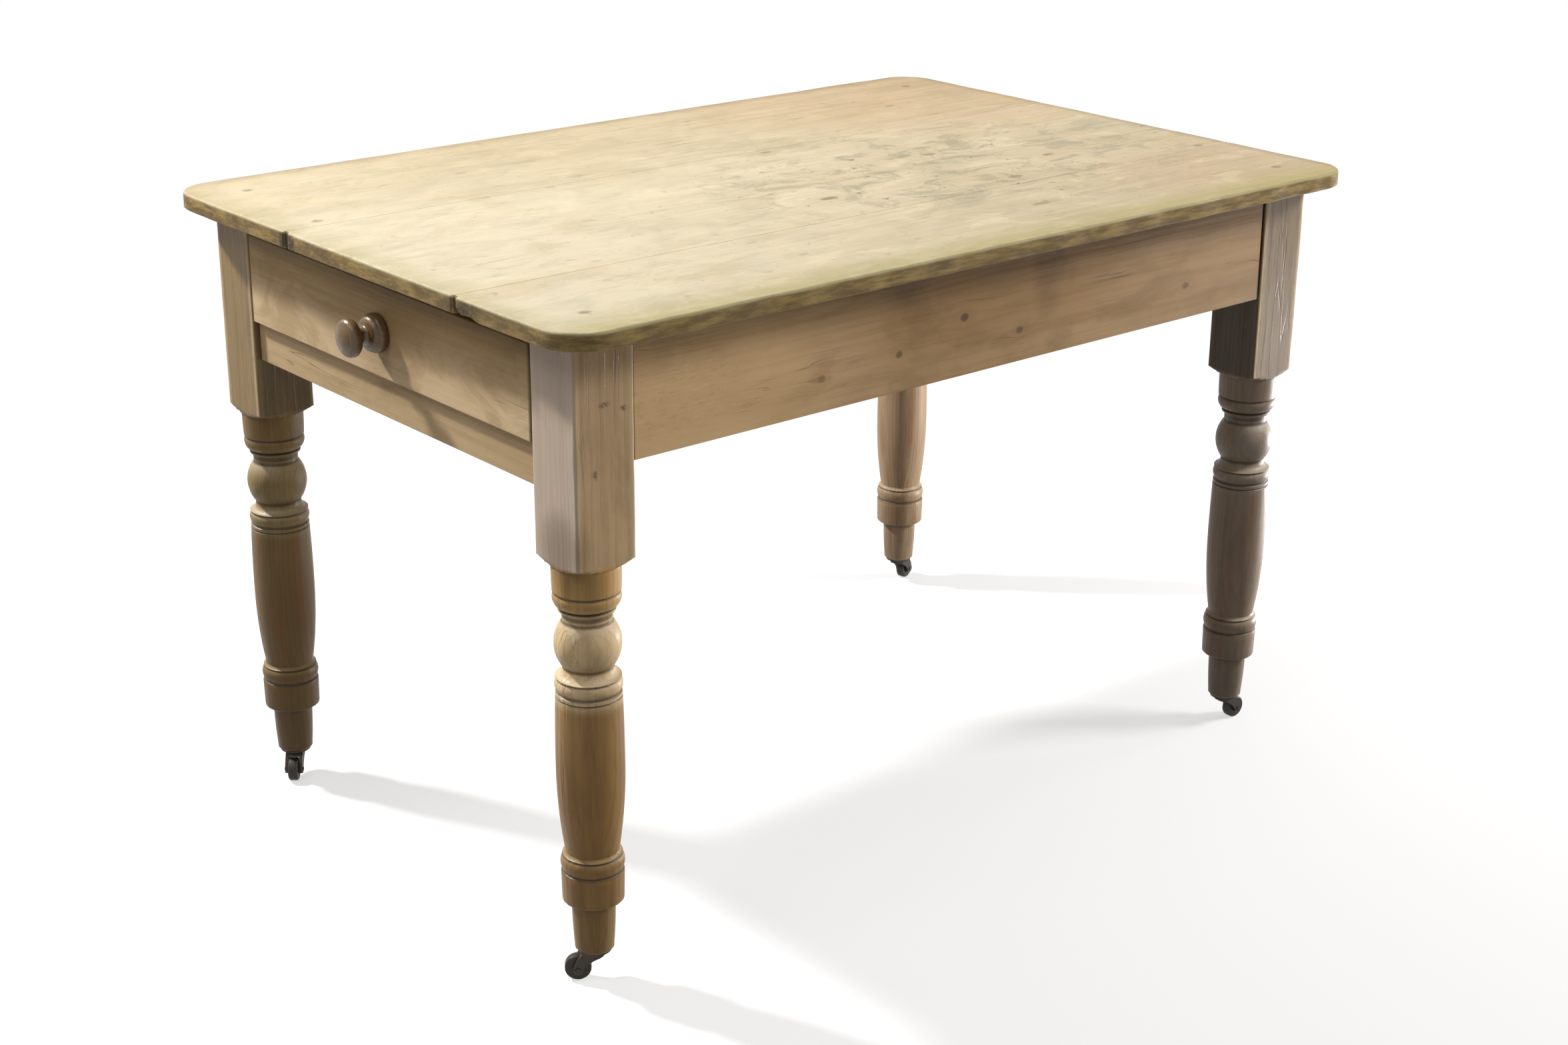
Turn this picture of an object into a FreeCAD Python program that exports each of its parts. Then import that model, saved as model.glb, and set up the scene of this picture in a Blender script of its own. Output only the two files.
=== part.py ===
import FreeCAD, Part
import math
import os
import types
import Sketcher

# A pine kitchen table on four turned legs with casters, and one drawer in its short end.
#
# Millimetres, with Z up. X runs along the top and the drawer is at the -X end, Y runs
# across, and the origin is on the floor under the middle of the top. Front, rear, left and
# right are as seen by someone at the drawer who looks along +X, so left is the +Y side.
#
# The frame is joined with mortises and tenons, the top is nailed down through its face, and
# the drawer is dovetailed. Each caster swivels on a pin that stands in the foot of its leg.

SIZES = {
    # Top
    "top_length": 1218,
    "top_width": 831,
    "top_thickness": 20,
    "table_height": 775,
    "top_corner_radius": 50,
    "top_arris": 3,
    "left_seam": 135,
    "right_seam": 210,
    "seam_gap": 0.5,
    "seam_wear_radius": 4,
    "overhang_end": 37,
    "overhang_side": 47,
    # Nails that hold the top down
    "nail_head_length": 7,
    "nail_head_width": 4.5,
    "nail_head_depth": 2,
    "nail_shank_length": 4,
    "nail_shank_width": 2.5,
    "nail_length": 33,
    "nail_sink": 0.6,
    "leg_nail_inset_x": 33,
    "leg_nail_inset_y": 23.5,
    "front_nail_inset": 22,
    "rear_nail_inset": 12,
    # Square block at the head of a leg
    "leg_square": 76,
    "leg_arris": 3,
    "block_length": 247,
    "shoulder_rise": 8,
    # Turning of a leg, from the block down to the barrel
    "cup_diameter": 75,
    "cup_lip_diameter": 74,
    "cup_length": 30.5,
    "line_width": 1.6,
    "line_depth": 0.9,
    "cup_bead_length": 15,
    "cup_bead_swell": 2.2,
    "cup_foot_diameter": 66.5,
    "ring_diameter": 62.6,
    "ring_length": 2.5,
    "neck_diameter": 55,
    "neck_length": 11.4,
    "ball_diameter": 73.5,
    "ball_length": 54.2,
    "ball_neck_diameter": 55.6,
    "cove_length": 11.1,
    "cove_lip_diameter": 72,
    "cove_hollow": 2.8,
    "bead_diameter": 73.8,
    "bead_length": 13.4,
    "groove_width": 3,
    "groove_depth": 1.8,
    "fillet_diameter": 72.4,
    "fillet_length": 4,
    "barrel_top_diameter": 72.6,
    "barrel_shoulder_length": 85,
    "barrel_diameter": 75.4,
    "barrel_swell": 1.9,
    "waist_diameter": 59.6,
    # Turning of a leg, from its foot up to the waist
    "caster_height": 40,
    "foot_chamfer": 2,
    "foot_diameter": 44,
    "shank_diameter": 48.8,
    "shank_length": 58,
    "shank_swell": 0.6,
    "undercut_length": 6,
    "drum_foot_diameter": 68.6,
    "drum_diameter": 70.2,
    "drum_length": 34.5,
    "collar_diameter": 70.4,
    "collar_length": 15.3,
    "ankle_length": 5.5,
    # Aprons, and the tenons of all the rails
    "apron_thickness": 22,
    "apron_depth": 141,
    "apron_setback": 1,
    "apron_gap_top": 5,
    "apron_gap_bottom": 2.5,
    "tenon_thickness": 8,
    "tenon_length": 30,
    "tenon_shoulder": 10,
    "tenon_haunch": 30,
    "mortise_spare_depth": 1,
    # Rails above and below the drawer
    "rail_thickness": 22,
    "rail_setback": 8,
    "lower_rail_depth": 48,
    "lower_rail_shoulder": 5,
    "upper_rail_depth": 16,
    "opening_height": 112,
    "rail_tail_length": 24,
    "rail_tail_root": 12,
    "rail_tail_end": 18,
    # Runners, guides, kickers and stops that carry the drawer
    "runner_thickness": 20,
    "runner_lap": 22,
    "guide_height": 18,
    "guide_width": 20,
    "kicker_width": 26,
    "kicker_inset": 4,
    "stop_length": 24,
    "stop_width": 20,
    "stop_height": 16,
    "stop_clearance": 0.3,
    "slide_clearance": 0.3,
    # Drawer
    "drawer_length": 560,
    "drawer_side_clearance": 2,
    "drawer_front_thickness": 22,
    "drawer_front_lift": 2,
    "drawer_top_clearance": 3,
    "drawer_arris": 1.5,
    "drawer_side_thickness": 12,
    "drawer_back_thickness": 12,
    "drawer_back_drop": 6,
    "drawer_bottom_thickness": 9,
    "drawer_bottom_lift": 10,
    "drawer_groove_depth": 6,
    "drawer_groove_spare": 0.5,
    "drawer_nail_width": 2,
    "drawer_nail_length": 24,
    "lap_tail_length": 14,
    "pin_width": 8,
    "tail_flare": 3,
    # Knob
    "knob_drop": 73,
    "spigot_diameter": 16,
    "rose_diameter": 54,
    "rose_rim_length": 7,
    "rose_length": 17,
    "rose_top_diameter": 34,
    "knob_neck_diameter": 21,
    "knob_neck_length": 7,
    "knob_head_diameter": 48,
    "knob_head_length": 26,
    "knob_rim_length": 10,
    "knob_rim_edge": 2.5,
    "knob_neck_flare": 1.5,
    "knob_dome_length": 9,
    "knob_dome_swell": 2.25,
    "knob_flat_diameter": 6,
    # Casters
    "plate_diameter": 38,
    "plate_thickness": 3,
    "pin_diameter": 7,
    "stem_length": 25,
    "pin_head_diameter": 11,
    "pin_head_thickness": 2.2,
    "running_clearance": 0.05,
    "swivel_gap": 0.3,
    "fork_boss_diameter": 22,
    "fork_boss_thickness": 6,
    "fork_width": 22,
    "fork_back_radius": 8,
    "fork_eye_diameter": 12,
    "fork_eye_swell": 2,
    "wheel_trail": 19,
    "wheel_diameter": 30,
    "wheel_width": 12,
    "wheel_side_gap": 0.5,
    "wheel_edge": 1.5,
    "axle_diameter": 5,
    "axle_end": 1.2,
    "yaw_front_right": 144,
    "yaw_front_left": 230,
    "yaw_rear_right": 357,
    "yaw_rear_left": 18,
}

# Counts, and the share of a radius by which a quarter circle swells from its chord.
LAP_TAILS = 3
BACK_TAILS = 2
DRAWER_NAILS = 3
QUARTER_SWELL = 1 - math.sqrt(0.5)

# Each corner of the table: its name, and which way it lies along X and Y.
CORNERS = [("front_right", -1, -1), ("front_left", -1, 1), ("rear_right", 1, -1), ("rear_left", 1, 1)]
SIDES = [("left", 1), ("right", -1)]

doc = FreeCAD.newDocument("kitchen_table")
sheet = doc.addObject("Spreadsheet::Sheet", "dims")
for row, (alias, number) in enumerate(SIZES.items(), 1):
    sheet.set(f"A{row}", alias.replace("_", " "))
    sheet.set(f"B{row}", str(number))
    sheet.setAlias(f"B{row}", alias)
doc.recompute()


class Size:
    """A number together with the sheet formula that it comes from."""

    def __init__(self, number, text=""):
        self.number = float(number)
        self.text = text or f"{float(number):.9f}"

    def __add__(self, other):
        other = as_size(other)
        return Size(self.number + other.number, f"({self.text} + {other.text})")

    def __sub__(self, other):
        other = as_size(other)
        return Size(self.number - other.number, f"({self.text} - {other.text})")

    def __mul__(self, other):
        other = as_size(other)
        return Size(self.number * other.number, f"({self.text} * {other.text})")

    def __truediv__(self, other):
        other = as_size(other)
        return Size(self.number / other.number, f"({self.text} / {other.text})")

    def __rmul__(self, other):
        return as_size(other) * self

    def __neg__(self):
        return Size(0) - self


def as_size(item):
    return item if isinstance(item, Size) else Size(item)


d = types.SimpleNamespace(**{alias: Size(sheet.get(alias), f"dims.{alias}") for alias in SIZES})

# Heights and places that several pieces share.
underside = d.table_height - d.top_thickness
leg_half = d.leg_square / 2
leg_x = d.top_length / 2 - d.overhang_end - leg_half
leg_y = d.top_width / 2 - d.overhang_side - leg_half
inner_x = leg_x - leg_half
inner_y = leg_y - leg_half
face_x = leg_x + leg_half
apron_low = underside - d.apron_depth
tenon_low = apron_low + d.tenon_shoulder
tenon_high = underside - d.tenon_haunch
opening_high = underside - d.upper_rail_depth
rail_high = opening_high - d.opening_height
rail_low = rail_high - d.lower_rail_depth
rail_back = face_x - d.rail_setback - d.rail_thickness
end_inner = face_x - d.apron_setback - d.apron_thickness
side_inner = leg_y + leg_half - d.apron_setback - d.apron_thickness
knob_height = underside - d.knob_drop


def bind(item, prop, amount):
    item.setExpression(prop, as_size(amount).text)


def put(item, place):
    """Bind where an object stands."""
    for axis, amount in zip("xyz", place):
        bind(item, f".Placement.Base.{axis}", amount)


def turn(item, axis, degrees):
    item.Placement = FreeCAD.Placement(FreeCAD.Vector(), FreeCAD.Rotation(axis, degrees))


X_AXIS = FreeCAD.Vector(1, 0, 0)
Y_AXIS = FreeCAD.Vector(0, 1, 0)
Z_AXIS = FreeCAD.Vector(0, 0, 1)


def new_body(label):
    body = doc.addObject("PartDesign::Body", label)
    body.Label = label
    return body


def fit_box(item, corner, opposite):
    """Size and place a box between two opposite corners, given in any order."""
    sides = zip(("Length", "Width", "Height"), "xyz", corner, opposite)
    for side, axis, one, two in sides:
        low, high = sorted((as_size(one), as_size(two)), key=lambda end: end.number)
        bind(item, side, high - low)
        bind(item, f".Placement.Base.{axis}", low)


def add_box(body, name, corner, opposite):
    fit_box(body.newObject("PartDesign::AdditiveBox", name), corner, opposite)


def cut_box(body, name, corner, opposite):
    fit_box(body.newObject("PartDesign::SubtractiveBox", name), corner, opposite)


def cut_bore(body, name, place, radius, depth, axis=Z_AXIS, degrees=0):
    """Drill a round hole from place, along Z turned about axis."""
    bore = body.newObject("PartDesign::SubtractiveCylinder", name)
    turn(bore, axis, degrees)
    put(bore, place)
    bind(bore, "Radius", radius)
    bind(bore, "Height", depth)


def loose_box(name, corner, opposite):
    box = doc.addObject("Part::Box", name)
    fit_box(box, corner, opposite)
    return box


def fuse(name, items):
    whole = doc.addObject("Part::MultiFuse", name)
    whole.Shapes = items
    return whole


def group(label, items):
    """Several separate solids that share one node."""
    whole = doc.addObject("Part::Compound", label)
    whole.Label = label
    whole.Links = items
    return whole


def new_sketch(body, name, role, offset=0):
    """A sketch on one of the body's own planes, moved along that plane's normal."""
    sketch = body.newObject("Sketcher::SketchObject", name)
    plane = next(item for item in body.Origin.OriginFeatures if item.Role == role)
    sketch.AttachmentSupport = [(plane, "")]
    sketch.MapMode = "FlatFace"
    bind(sketch, ".AttachmentOffset.Base.z", offset)
    return sketch


def arc_edge(start, end, bulge):
    """The arc from start to end that swells by bulge to the right of the way it goes."""
    chord = end - start
    right = FreeCAD.Vector(chord.y, -chord.x, 0).normalize()
    swell = abs(bulge)
    radius = (swell**2 + chord.Length**2 / 4) / (2 * swell)
    centre = (start + end) / 2 - right * math.copysign(radius - swell, bulge)
    first, last = (start, end) if bulge > 0 else (end, start)
    angles = [math.atan2(point.y - centre.y, point.x - centre.x) for point in (first, last)]
    if angles[1] <= angles[0]:
        angles[1] += 2 * math.pi
    return Part.ArcOfCircle(Part.Circle(centre, Z_AXIS, radius), *angles)


def draw_outline(sketch, points):
    """Close lines and arcs through points (x, y, bulge), listed anticlockwise.

    A point's bulge is how far the edge that leaves it swells outwards: 0 is a straight line.
    """
    points = [tuple(as_size(item) for item in point) for point in points]
    spots = [FreeCAD.Vector(x.number, y.number, 0) for x, y, bulge in points]
    ends = []
    for index, (x, y, bulge) in enumerate(points):
        start, end = spots[index], spots[(index + 1) % len(spots)]
        if bulge.number:
            sketch.addGeometry(arc_edge(start, end, bulge.number), False)
        else:
            sketch.addGeometry(Part.LineSegment(start, end), False)
        ends.append((2, 1) if bulge.number < 0 else (1, 2))
    for index, (x, y, bulge) in enumerate(points):
        after = (index + 1) % len(points)
        first, last = ends[index]
        sketch.addConstraint(Sketcher.Constraint("Coincident", index, last, after, ends[after][0]))
        for kind, amount in (("DistanceX", x), ("DistanceY", y)):
            held = sketch.addConstraint(Sketcher.Constraint(kind, index, first, amount.number))
            bind(sketch, f"Constraints[{held}]", amount)
        if bulge.number:
            next_x, next_y, _ = points[after]
            run, rise = next_x - x, next_y - y
            swell = bulge if bulge.number > 0 else -bulge
            radius = (swell * swell + (run * run + rise * rise) / 4) / (2 * swell)
            held = sketch.addConstraint(Sketcher.Constraint("Radius", index, radius.number))
            bind(sketch, f"Constraints[{held}]", radius)


def add_pad(body, name, sketch, length):
    pad = body.newObject("PartDesign::Pad", name)
    pad.Profile = sketch
    bind(pad, "Length", length)
    sketch.Visibility = False
    return pad


def revolve(body, name, sketch, kind="PartDesign::Revolution"):
    """Turn a sketch once round its own upright axis."""
    turned = body.newObject(kind, name)
    turned.Profile = sketch
    turned.ReferenceAxis = (sketch, ["V_Axis"])
    turned.Angle = 360
    sketch.Visibility = False
    return turned


def dress_edges(body, name, kind, chosen):
    """Start a fillet or a chamfer on the edges of the body's last feature that chosen picks."""
    doc.recompute()
    base = body.Tip
    names = [f"Edge{i}" for i, edge in enumerate(base.Shape.Edges, 1) if chosen(edge)]
    dressed = body.newObject(kind, name)
    dressed.Base = (base, names)
    return dressed


def round_edges(body, name, radius, chosen):
    bind(dress_edges(body, name, "PartDesign::Fillet", chosen), "Radius", radius)


def chamfer_edges(body, name, size, chosen):
    bind(dress_edges(body, name, "PartDesign::Chamfer", chosen), "Size", size)


def is_upright(edge):
    low, high = edge.Vertexes[0].Point, edge.Vertexes[-1].Point
    return math.hypot(low.x - high.x, low.y - high.y) < 0.01 < abs(low.z - high.z)


# ---- Top ----------------------------------------------------------------------------


def plank_outline(low, high, low_radius, high_radius):
    """A rectangle between low and high in Y, over the length of the top, with round corners."""
    end = d.top_length / 2
    low_swell = low_radius * QUARTER_SWELL
    high_swell = high_radius * QUARTER_SWELL
    return [
        (-end + low_radius, low, 0),
        (end - low_radius, low, low_swell),
        (end, low + low_radius, 0),
        (end, high - high_radius, high_swell),
        (end - high_radius, high, 0),
        (-end + high_radius, high, high_swell),
        (-end, high - high_radius, 0),
        (-end, low + low_radius, low_swell),
    ]


def nail_places():
    """Where the nails go in, board by board: the outer boards over the legs, two by a seam."""
    leg_x_out = d.top_length / 2 - d.overhang_end - d.leg_nail_inset_x
    leg_y_out = d.top_width / 2 - d.overhang_side - d.leg_nail_inset_y
    upper_rail_x = rail_back + d.rail_thickness / 2
    end_apron_x = end_inner + d.apron_thickness / 2
    return {
        "left": [(-leg_x_out, leg_y_out), (leg_x_out, leg_y_out), (-upper_rail_x, d.left_seam + d.front_nail_inset)],
        "middle": [(end_apron_x, d.rear_nail_inset - d.right_seam)],
        "right": [(-leg_x_out, -leg_y_out), (leg_x_out, -leg_y_out)],
    }


def nail_boxes(x, y):
    """The corners of a cut nail's head and of its shank."""
    top = d.table_height - d.nail_sink
    neck = top - d.nail_head_depth
    head = (d.nail_head_length / 2, d.nail_head_width / 2)
    shank = (d.nail_shank_length / 2, d.nail_shank_width / 2)
    return [
        ((x - head[0], y - head[1], neck), (x + head[0], y + head[1], top)),
        ((x - shank[0], y - shank[1], top - d.nail_length), (x + shank[0], y + shank[1], neck)),
    ]


def make_plank(name, low, high, low_radius, high_radius, outer):
    """A board of the top. outer(edge) says whether a top edge is on the table's rim."""
    body = new_body(f"top_plank_{name}")
    sketch = new_sketch(body, f"{name}_plank_outline", "XY_Plane", underside)
    draw_outline(sketch, plank_outline(low, high, low_radius, high_radius))
    add_pad(body, f"{name}_plank", sketch, d.top_thickness)
    chamfer_edges(body, f"{name}_plank_arris", d.top_arris, outer)
    for index, (x, y) in enumerate(nail_places()[name]):
        head, shank = nail_boxes(x, y)
        raised = (head[1][0], head[1][1], d.table_height + d.nail_sink)
        cut_box(body, f"{name}_nail_recess_{index}", head[0], raised)
        cut_box(body, f"{name}_nail_hole_{index}", shank[0], shank[1])


def on_rim(*seams):
    """Picks the edges of a plank's upper face that don't run along a seam."""

    def chosen(edge):
        ends = [vertex.Point for vertex in edge.Vertexes]
        if any(abs(point.z - d.table_height.number) > 0.01 for point in ends):
            return False
        return not any(all(abs(point.y - seam.number) < 0.01 for point in ends) for seam in seams)

    return chosen


def make_top():
    half_gap = d.seam_gap / 2
    rim = d.top_width / 2
    left = d.left_seam
    right = -d.right_seam
    wear, corner = d.seam_wear_radius, d.top_corner_radius
    low = left + half_gap
    make_plank("left", low, rim, wear, corner, on_rim(low))
    low, high = right + half_gap, left - half_gap
    make_plank("middle", low, high, wear, wear, on_rim(low, high))
    high = right - half_gap
    make_plank("right", -rim, high, corner, wear, on_rim(high))
    nails = []
    for name, places in nail_places().items():
        for index, (x, y) in enumerate(places):
            parts = [loose_box(f"{name}_nail_{index}_{n}", *box) for n, box in enumerate(nail_boxes(x, y))]
            nails.append(fuse(f"{name}_nail_{index}", parts))
    group("top_nails", nails)


# ---- Legs ---------------------------------------------------------------------------


def turned_profile():
    """Half the outline of a leg's turning, from the foot up, and the height of its top."""
    foot = d.caster_height
    shank_top = foot + d.shank_length
    drum_low = shank_top + d.undercut_length
    drum_high = drum_low + d.drum_length
    collar_low = drum_high + d.groove_width
    collar_high = collar_low + d.collar_length
    waist = collar_high + d.ankle_length
    cup_high = underside - d.block_length - d.shoulder_rise
    cup_low = cup_high - d.cup_length
    cup_bead_high = cup_low - d.line_width
    cup_foot = cup_bead_high - d.cup_bead_length
    ring_high = cup_foot - d.groove_width
    ring_low = ring_high - d.ring_length
    ball_high = ring_low - d.neck_length
    ball_low = ball_high - d.ball_length
    cove_low = ball_low - d.cove_length
    bead_high = cove_low - d.line_width
    bead_low = bead_high - d.bead_length
    fillet_high = bead_low - d.groove_width
    fillet_low = fillet_high - d.fillet_length
    barrel_high = fillet_low - d.line_width

    collar_end = d.collar_diameter / 2 - d.groove_depth
    bead_end = d.bead_diameter / 2 - d.groove_depth
    ball_neck = d.ball_neck_diameter / 2
    ring_edge = d.ring_diameter / 2
    points = [
        (0, foot, 0),
        (d.foot_diameter / 2 - d.foot_chamfer, foot, 0),
        (d.foot_diameter / 2, foot + d.foot_chamfer, d.shank_swell),
        (d.shank_diameter / 2, shank_top, 0),
        (d.drum_foot_diameter / 2 - d.groove_depth, drum_low - d.groove_width, 0),
        (d.drum_foot_diameter / 2, drum_low, 0),
        (d.drum_diameter / 2, drum_high, 0),
        (collar_end, collar_low, d.groove_depth),
        (collar_end, collar_high, 0),
        (collar_end - d.line_depth, collar_high + d.line_width / 2, 0),
        (collar_end, collar_high + d.line_width, 0),
        (d.waist_diameter / 2, waist, d.barrel_swell),
        (d.barrel_diameter / 2, barrel_high - d.barrel_shoulder_length, 0),
        (d.barrel_top_diameter / 2, barrel_high, 0),
        (d.fillet_diameter / 2 - d.line_depth, barrel_high + d.line_width / 2, 0),
        (d.fillet_diameter / 2, fillet_low, 0),
        (d.fillet_diameter / 2, fillet_high, 0),
        (bead_end, bead_low, d.groove_depth),
        (bead_end, bead_high, 0),
        (d.cove_lip_diameter / 2, cove_low, -d.cove_hollow),
        (ball_neck, ball_low, (d.ball_diameter / 2 - ball_neck)),
        (ball_neck, ball_high, 0),
        (d.neck_diameter / 2, ring_low - d.neck_length / 2, 0),
        (ring_edge, ring_low, 0),
        (ring_edge, ring_high, 0),
        (ring_edge - d.groove_depth, ring_high + d.groove_width / 2, 0),
        (d.cup_foot_diameter / 2, cup_foot, d.cup_bead_swell),
        (d.cup_lip_diameter / 2 - d.line_depth, cup_bead_high, 0),
        (d.cup_lip_diameter / 2, cup_low, 0),
        (d.cup_diameter / 2, cup_high, 0),
        (d.cup_diameter / 2, cup_high + d.shoulder_rise, 0),
        (0, cup_high + d.shoulder_rise, 0),
    ]
    return points, cup_high


def cut_end_joints(body, way, side):
    """Mortises for the rails that run across the table, in a leg at the front or the rear."""
    mouth = -side * leg_half
    bottom = -side * (leg_half - d.tenon_length - d.mortise_spare_depth)
    if way > 0:
        centre = leg_half - d.apron_setback - d.apron_thickness / 2
        cut_mortise(body, "end", "y", mouth, bottom, centre, tenon_low, tenon_high)
        return
    centre = d.rail_setback + d.rail_thickness / 2 - leg_half
    low, high = rail_low + d.lower_rail_shoulder, rail_high - d.lower_rail_shoulder
    cut_mortise(body, "end", "y", mouth, bottom, centre, low, high)
    cut_wedge = body.newObject("PartDesign::SubtractiveWedge", f"{body.Label}_rail_tail")
    fit_wedge(cut_wedge, d.upper_rail_depth, d.rail_tail_length, d.rail_tail_root, d.rail_tail_end)
    aim_wedge(cut_wedge, side, (centre, mouth, opening_high))


def cut_mortise(body, name, along, mouth, bottom, centre, low, high):
    """A mortise that runs from mouth to bottom along X or Y, centred on the other axis."""
    near, far = centre - d.tenon_thickness / 2, centre + d.tenon_thickness / 2
    if along == "x":
        cut_box(body, f"{body.Label}_{name}_mortise", (mouth, near, low), (bottom, far, high))
    else:
        cut_box(body, f"{body.Label}_{name}_mortise", (near, mouth, low), (far, bottom, high))


def fit_wedge(wedge, depth, length, root, end):
    """A dovetail: root wide at its shoulder, end wide at its tip, length long, depth thick."""
    sizes = {
        "Xmin": root / -2,
        "Xmax": root / 2,
        "X2min": end / -2,
        "X2max": end / 2,
        "Ymin": Size(0),
        "Ymax": length,
        "Zmin": Size(0),
        "Zmax": depth,
        "Z2min": Size(0),
        "Z2max": depth,
    }
    for prop, amount in sizes.items():
        bind(wedge, prop, amount)


def aim_wedge(wedge, side, place):
    """Stand a dovetail with its depth upwards, so that it points to the given side in Y."""
    turn(wedge, Z_AXIS, 0 if side > 0 else 180)
    put(wedge, place)


def make_leg(name, way, side):
    """A leg about its own axis: way is -1 at the drawer end, and side is 1 on the left."""
    body = new_body(f"leg_{name}")
    points, cup_high = turned_profile()
    corner = (-leg_half, -leg_half, cup_high)
    add_box(body, f"{name}_block", corner, (leg_half, leg_half, underside))
    round_edges(body, f"{name}_arrises", d.leg_arris, is_upright)

    shoulder = new_sketch(body, f"{name}_shoulder", "XZ_Plane")
    reach = d.leg_square * math.sqrt(0.5)
    ring = [(d.cup_diameter / 2, cup_high, 0), (reach, cup_high, 0), (reach, cup_high + d.shoulder_rise, 0)]
    draw_outline(shoulder, ring)
    revolve(body, f"{name}_shoulder_cut", shoulder, "PartDesign::Groove")

    profile = new_sketch(body, f"{name}_profile", "XZ_Plane")
    draw_outline(profile, points)
    revolve(body, f"{name}_turning", profile)

    mouth = -way * leg_half
    bottom = -way * (leg_half - d.tenon_length - d.mortise_spare_depth)
    centre = side * (leg_half - d.apron_setback - d.apron_thickness / 2)
    cut_mortise(body, "side", "x", mouth, bottom, centre, tenon_low, tenon_high)
    cut_end_joints(body, way, side)

    nail_x = way * (leg_half - d.leg_nail_inset_x)
    nail_y = side * (leg_half - d.leg_nail_inset_y)
    shank = nail_boxes(nail_x, nail_y)[1]
    cut_box(body, f"{name}_nail_hole", shank[0], shank[1])
    cut_bore(body, f"{name}_stem_hole", (0, 0, d.caster_height), d.pin_diameter / 2, d.stem_length)
    put(body, (way * leg_x, side * leg_y, 0))


# ---- Aprons and rails ---------------------------------------------------------------


def make_side_apron(name, side, gap_low, gap_high):
    """A long apron. Its rear shoulder has shrunk away from the leg by the two gaps."""
    body = new_body(f"side_apron_{name}")
    outer = leg_y + leg_half - d.apron_setback
    start = -outer if side > 0 else outer - d.apron_thickness
    sketch = new_sketch(body, f"{name}_apron_outline", "XZ_Plane", start)
    points = [
        (-inner_x, apron_low, 0),
        (inner_x - gap_low, apron_low, 0),
        (inner_x - gap_high, underside, 0),
        (-inner_x, underside, 0),
    ]
    draw_outline(sketch, points)
    add_pad(body, f"{name}_apron_board", sketch, d.apron_thickness)
    centre = side * (outer - d.apron_thickness / 2)
    near, far = centre - d.tenon_thickness / 2, centre + d.tenon_thickness / 2
    tip = inner_x + d.tenon_length
    root = inner_x - d.tenon_length
    add_box(body, f"{name}_apron_tenons", (-tip, near, tenon_low), (-root, far, tenon_high))
    add_box(body, f"{name}_apron_rear_tenon", (tip, near, tenon_low), (root, far, tenon_high))


def make_end_apron():
    body = new_body("end_apron")
    outer = face_x - d.apron_setback
    add_box(body, "end_apron_board", (end_inner, -inner_y, apron_low), (outer, inner_y, underside))
    centre = outer - d.apron_thickness / 2
    near, far = centre - d.tenon_thickness / 2, centre + d.tenon_thickness / 2
    tip = inner_y + d.tenon_length
    add_box(body, "end_apron_tenons", (near, -tip, tenon_low), (far, tip, tenon_high))
    cut_rail_nails(body, 1)


def cut_rail_nails(body, way):
    """Holes for the nails of the top that go into the end apron or the upper rail."""
    for name, places in nail_places().items():
        for index, (x, y) in enumerate(places):
            if x.number * way > 0 and abs(y.number) < inner_y.number:
                shank = nail_boxes(x, y)[1]
                cut_box(body, f"{body.Label}_{name}_nail_hole_{index}", shank[0], shank[1])


def make_lower_rail():
    body = new_body("drawer_rail_lower")
    front = -(face_x - d.rail_setback)
    add_box(body, "lower_rail_board", (front, -inner_y, rail_low), (-rail_back, inner_y, rail_high))
    centre = front + d.rail_thickness / 2
    near, far = centre - d.tenon_thickness / 2, centre + d.tenon_thickness / 2
    low, high = rail_low + d.lower_rail_shoulder, rail_high - d.lower_rail_shoulder
    tip = inner_y + d.tenon_length
    add_box(body, "lower_rail_tenons", (near, -tip, low), (far, tip, high))


def make_upper_rail():
    """The thin rail over the drawer, dovetailed down into the heads of the front legs."""
    body = new_body("drawer_rail_upper")
    front = -(face_x - d.rail_setback)
    low, high = (front, -inner_y, opening_high), (-rail_back, inner_y, underside)
    add_box(body, "upper_rail_board", low, high)
    centre = front + d.rail_thickness / 2
    for name, side in SIDES:
        tail = body.newObject("PartDesign::AdditiveWedge", f"upper_rail_tail_{name}")
        fit_wedge(tail, d.upper_rail_depth, d.rail_tail_length, d.rail_tail_root, d.rail_tail_end)
        aim_wedge(tail, side, (centre, side * inner_y, opening_high))
    cut_rail_nails(body, -1)


def make_drawer_ways():
    """Runners, guides and kickers, from the front rails to the end apron, and the stops."""
    stops = []
    for name, side in SIDES:
        lap = side * (inner_y - d.runner_lap)
        wall = side * side_inner
        flush = side * inner_y
        body = new_body(f"drawer_runner_{name}")
        low = rail_high - d.runner_thickness
        add_box(body, f"{name}_runner_strip", (-rail_back, lap, low), (end_inner, flush, rail_high))
        add_box(body, f"{name}_runner_board", (-inner_x, lap, low), (inner_x, wall, rail_high))

        guide = loose_box(
            f"drawer_guide_{name}",
            (-inner_x, flush, rail_high),
            (inner_x, flush + side * d.guide_width, rail_high + d.guide_height),
        )
        guide.Label = f"drawer_guide_{name}"

        outer = side * (inner_y - d.kicker_inset)
        kicker = loose_box(
            f"drawer_kicker_{name}",
            (-rail_back, outer, opening_high),
            (end_inner, outer - side * d.kicker_width, underside),
        )
        kicker.Label = f"drawer_kicker_{name}"

        stop_x = d.drawer_length - face_x + d.stop_clearance
        stops.append(
            loose_box(
                f"{name}_stop",
                (stop_x, flush, rail_high),
                (stop_x + d.stop_length, flush - side * d.stop_width, rail_high + d.stop_height),
            )
        )
    group("drawer_stops", stops)


# ---- Drawer -------------------------------------------------------------------------

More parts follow.
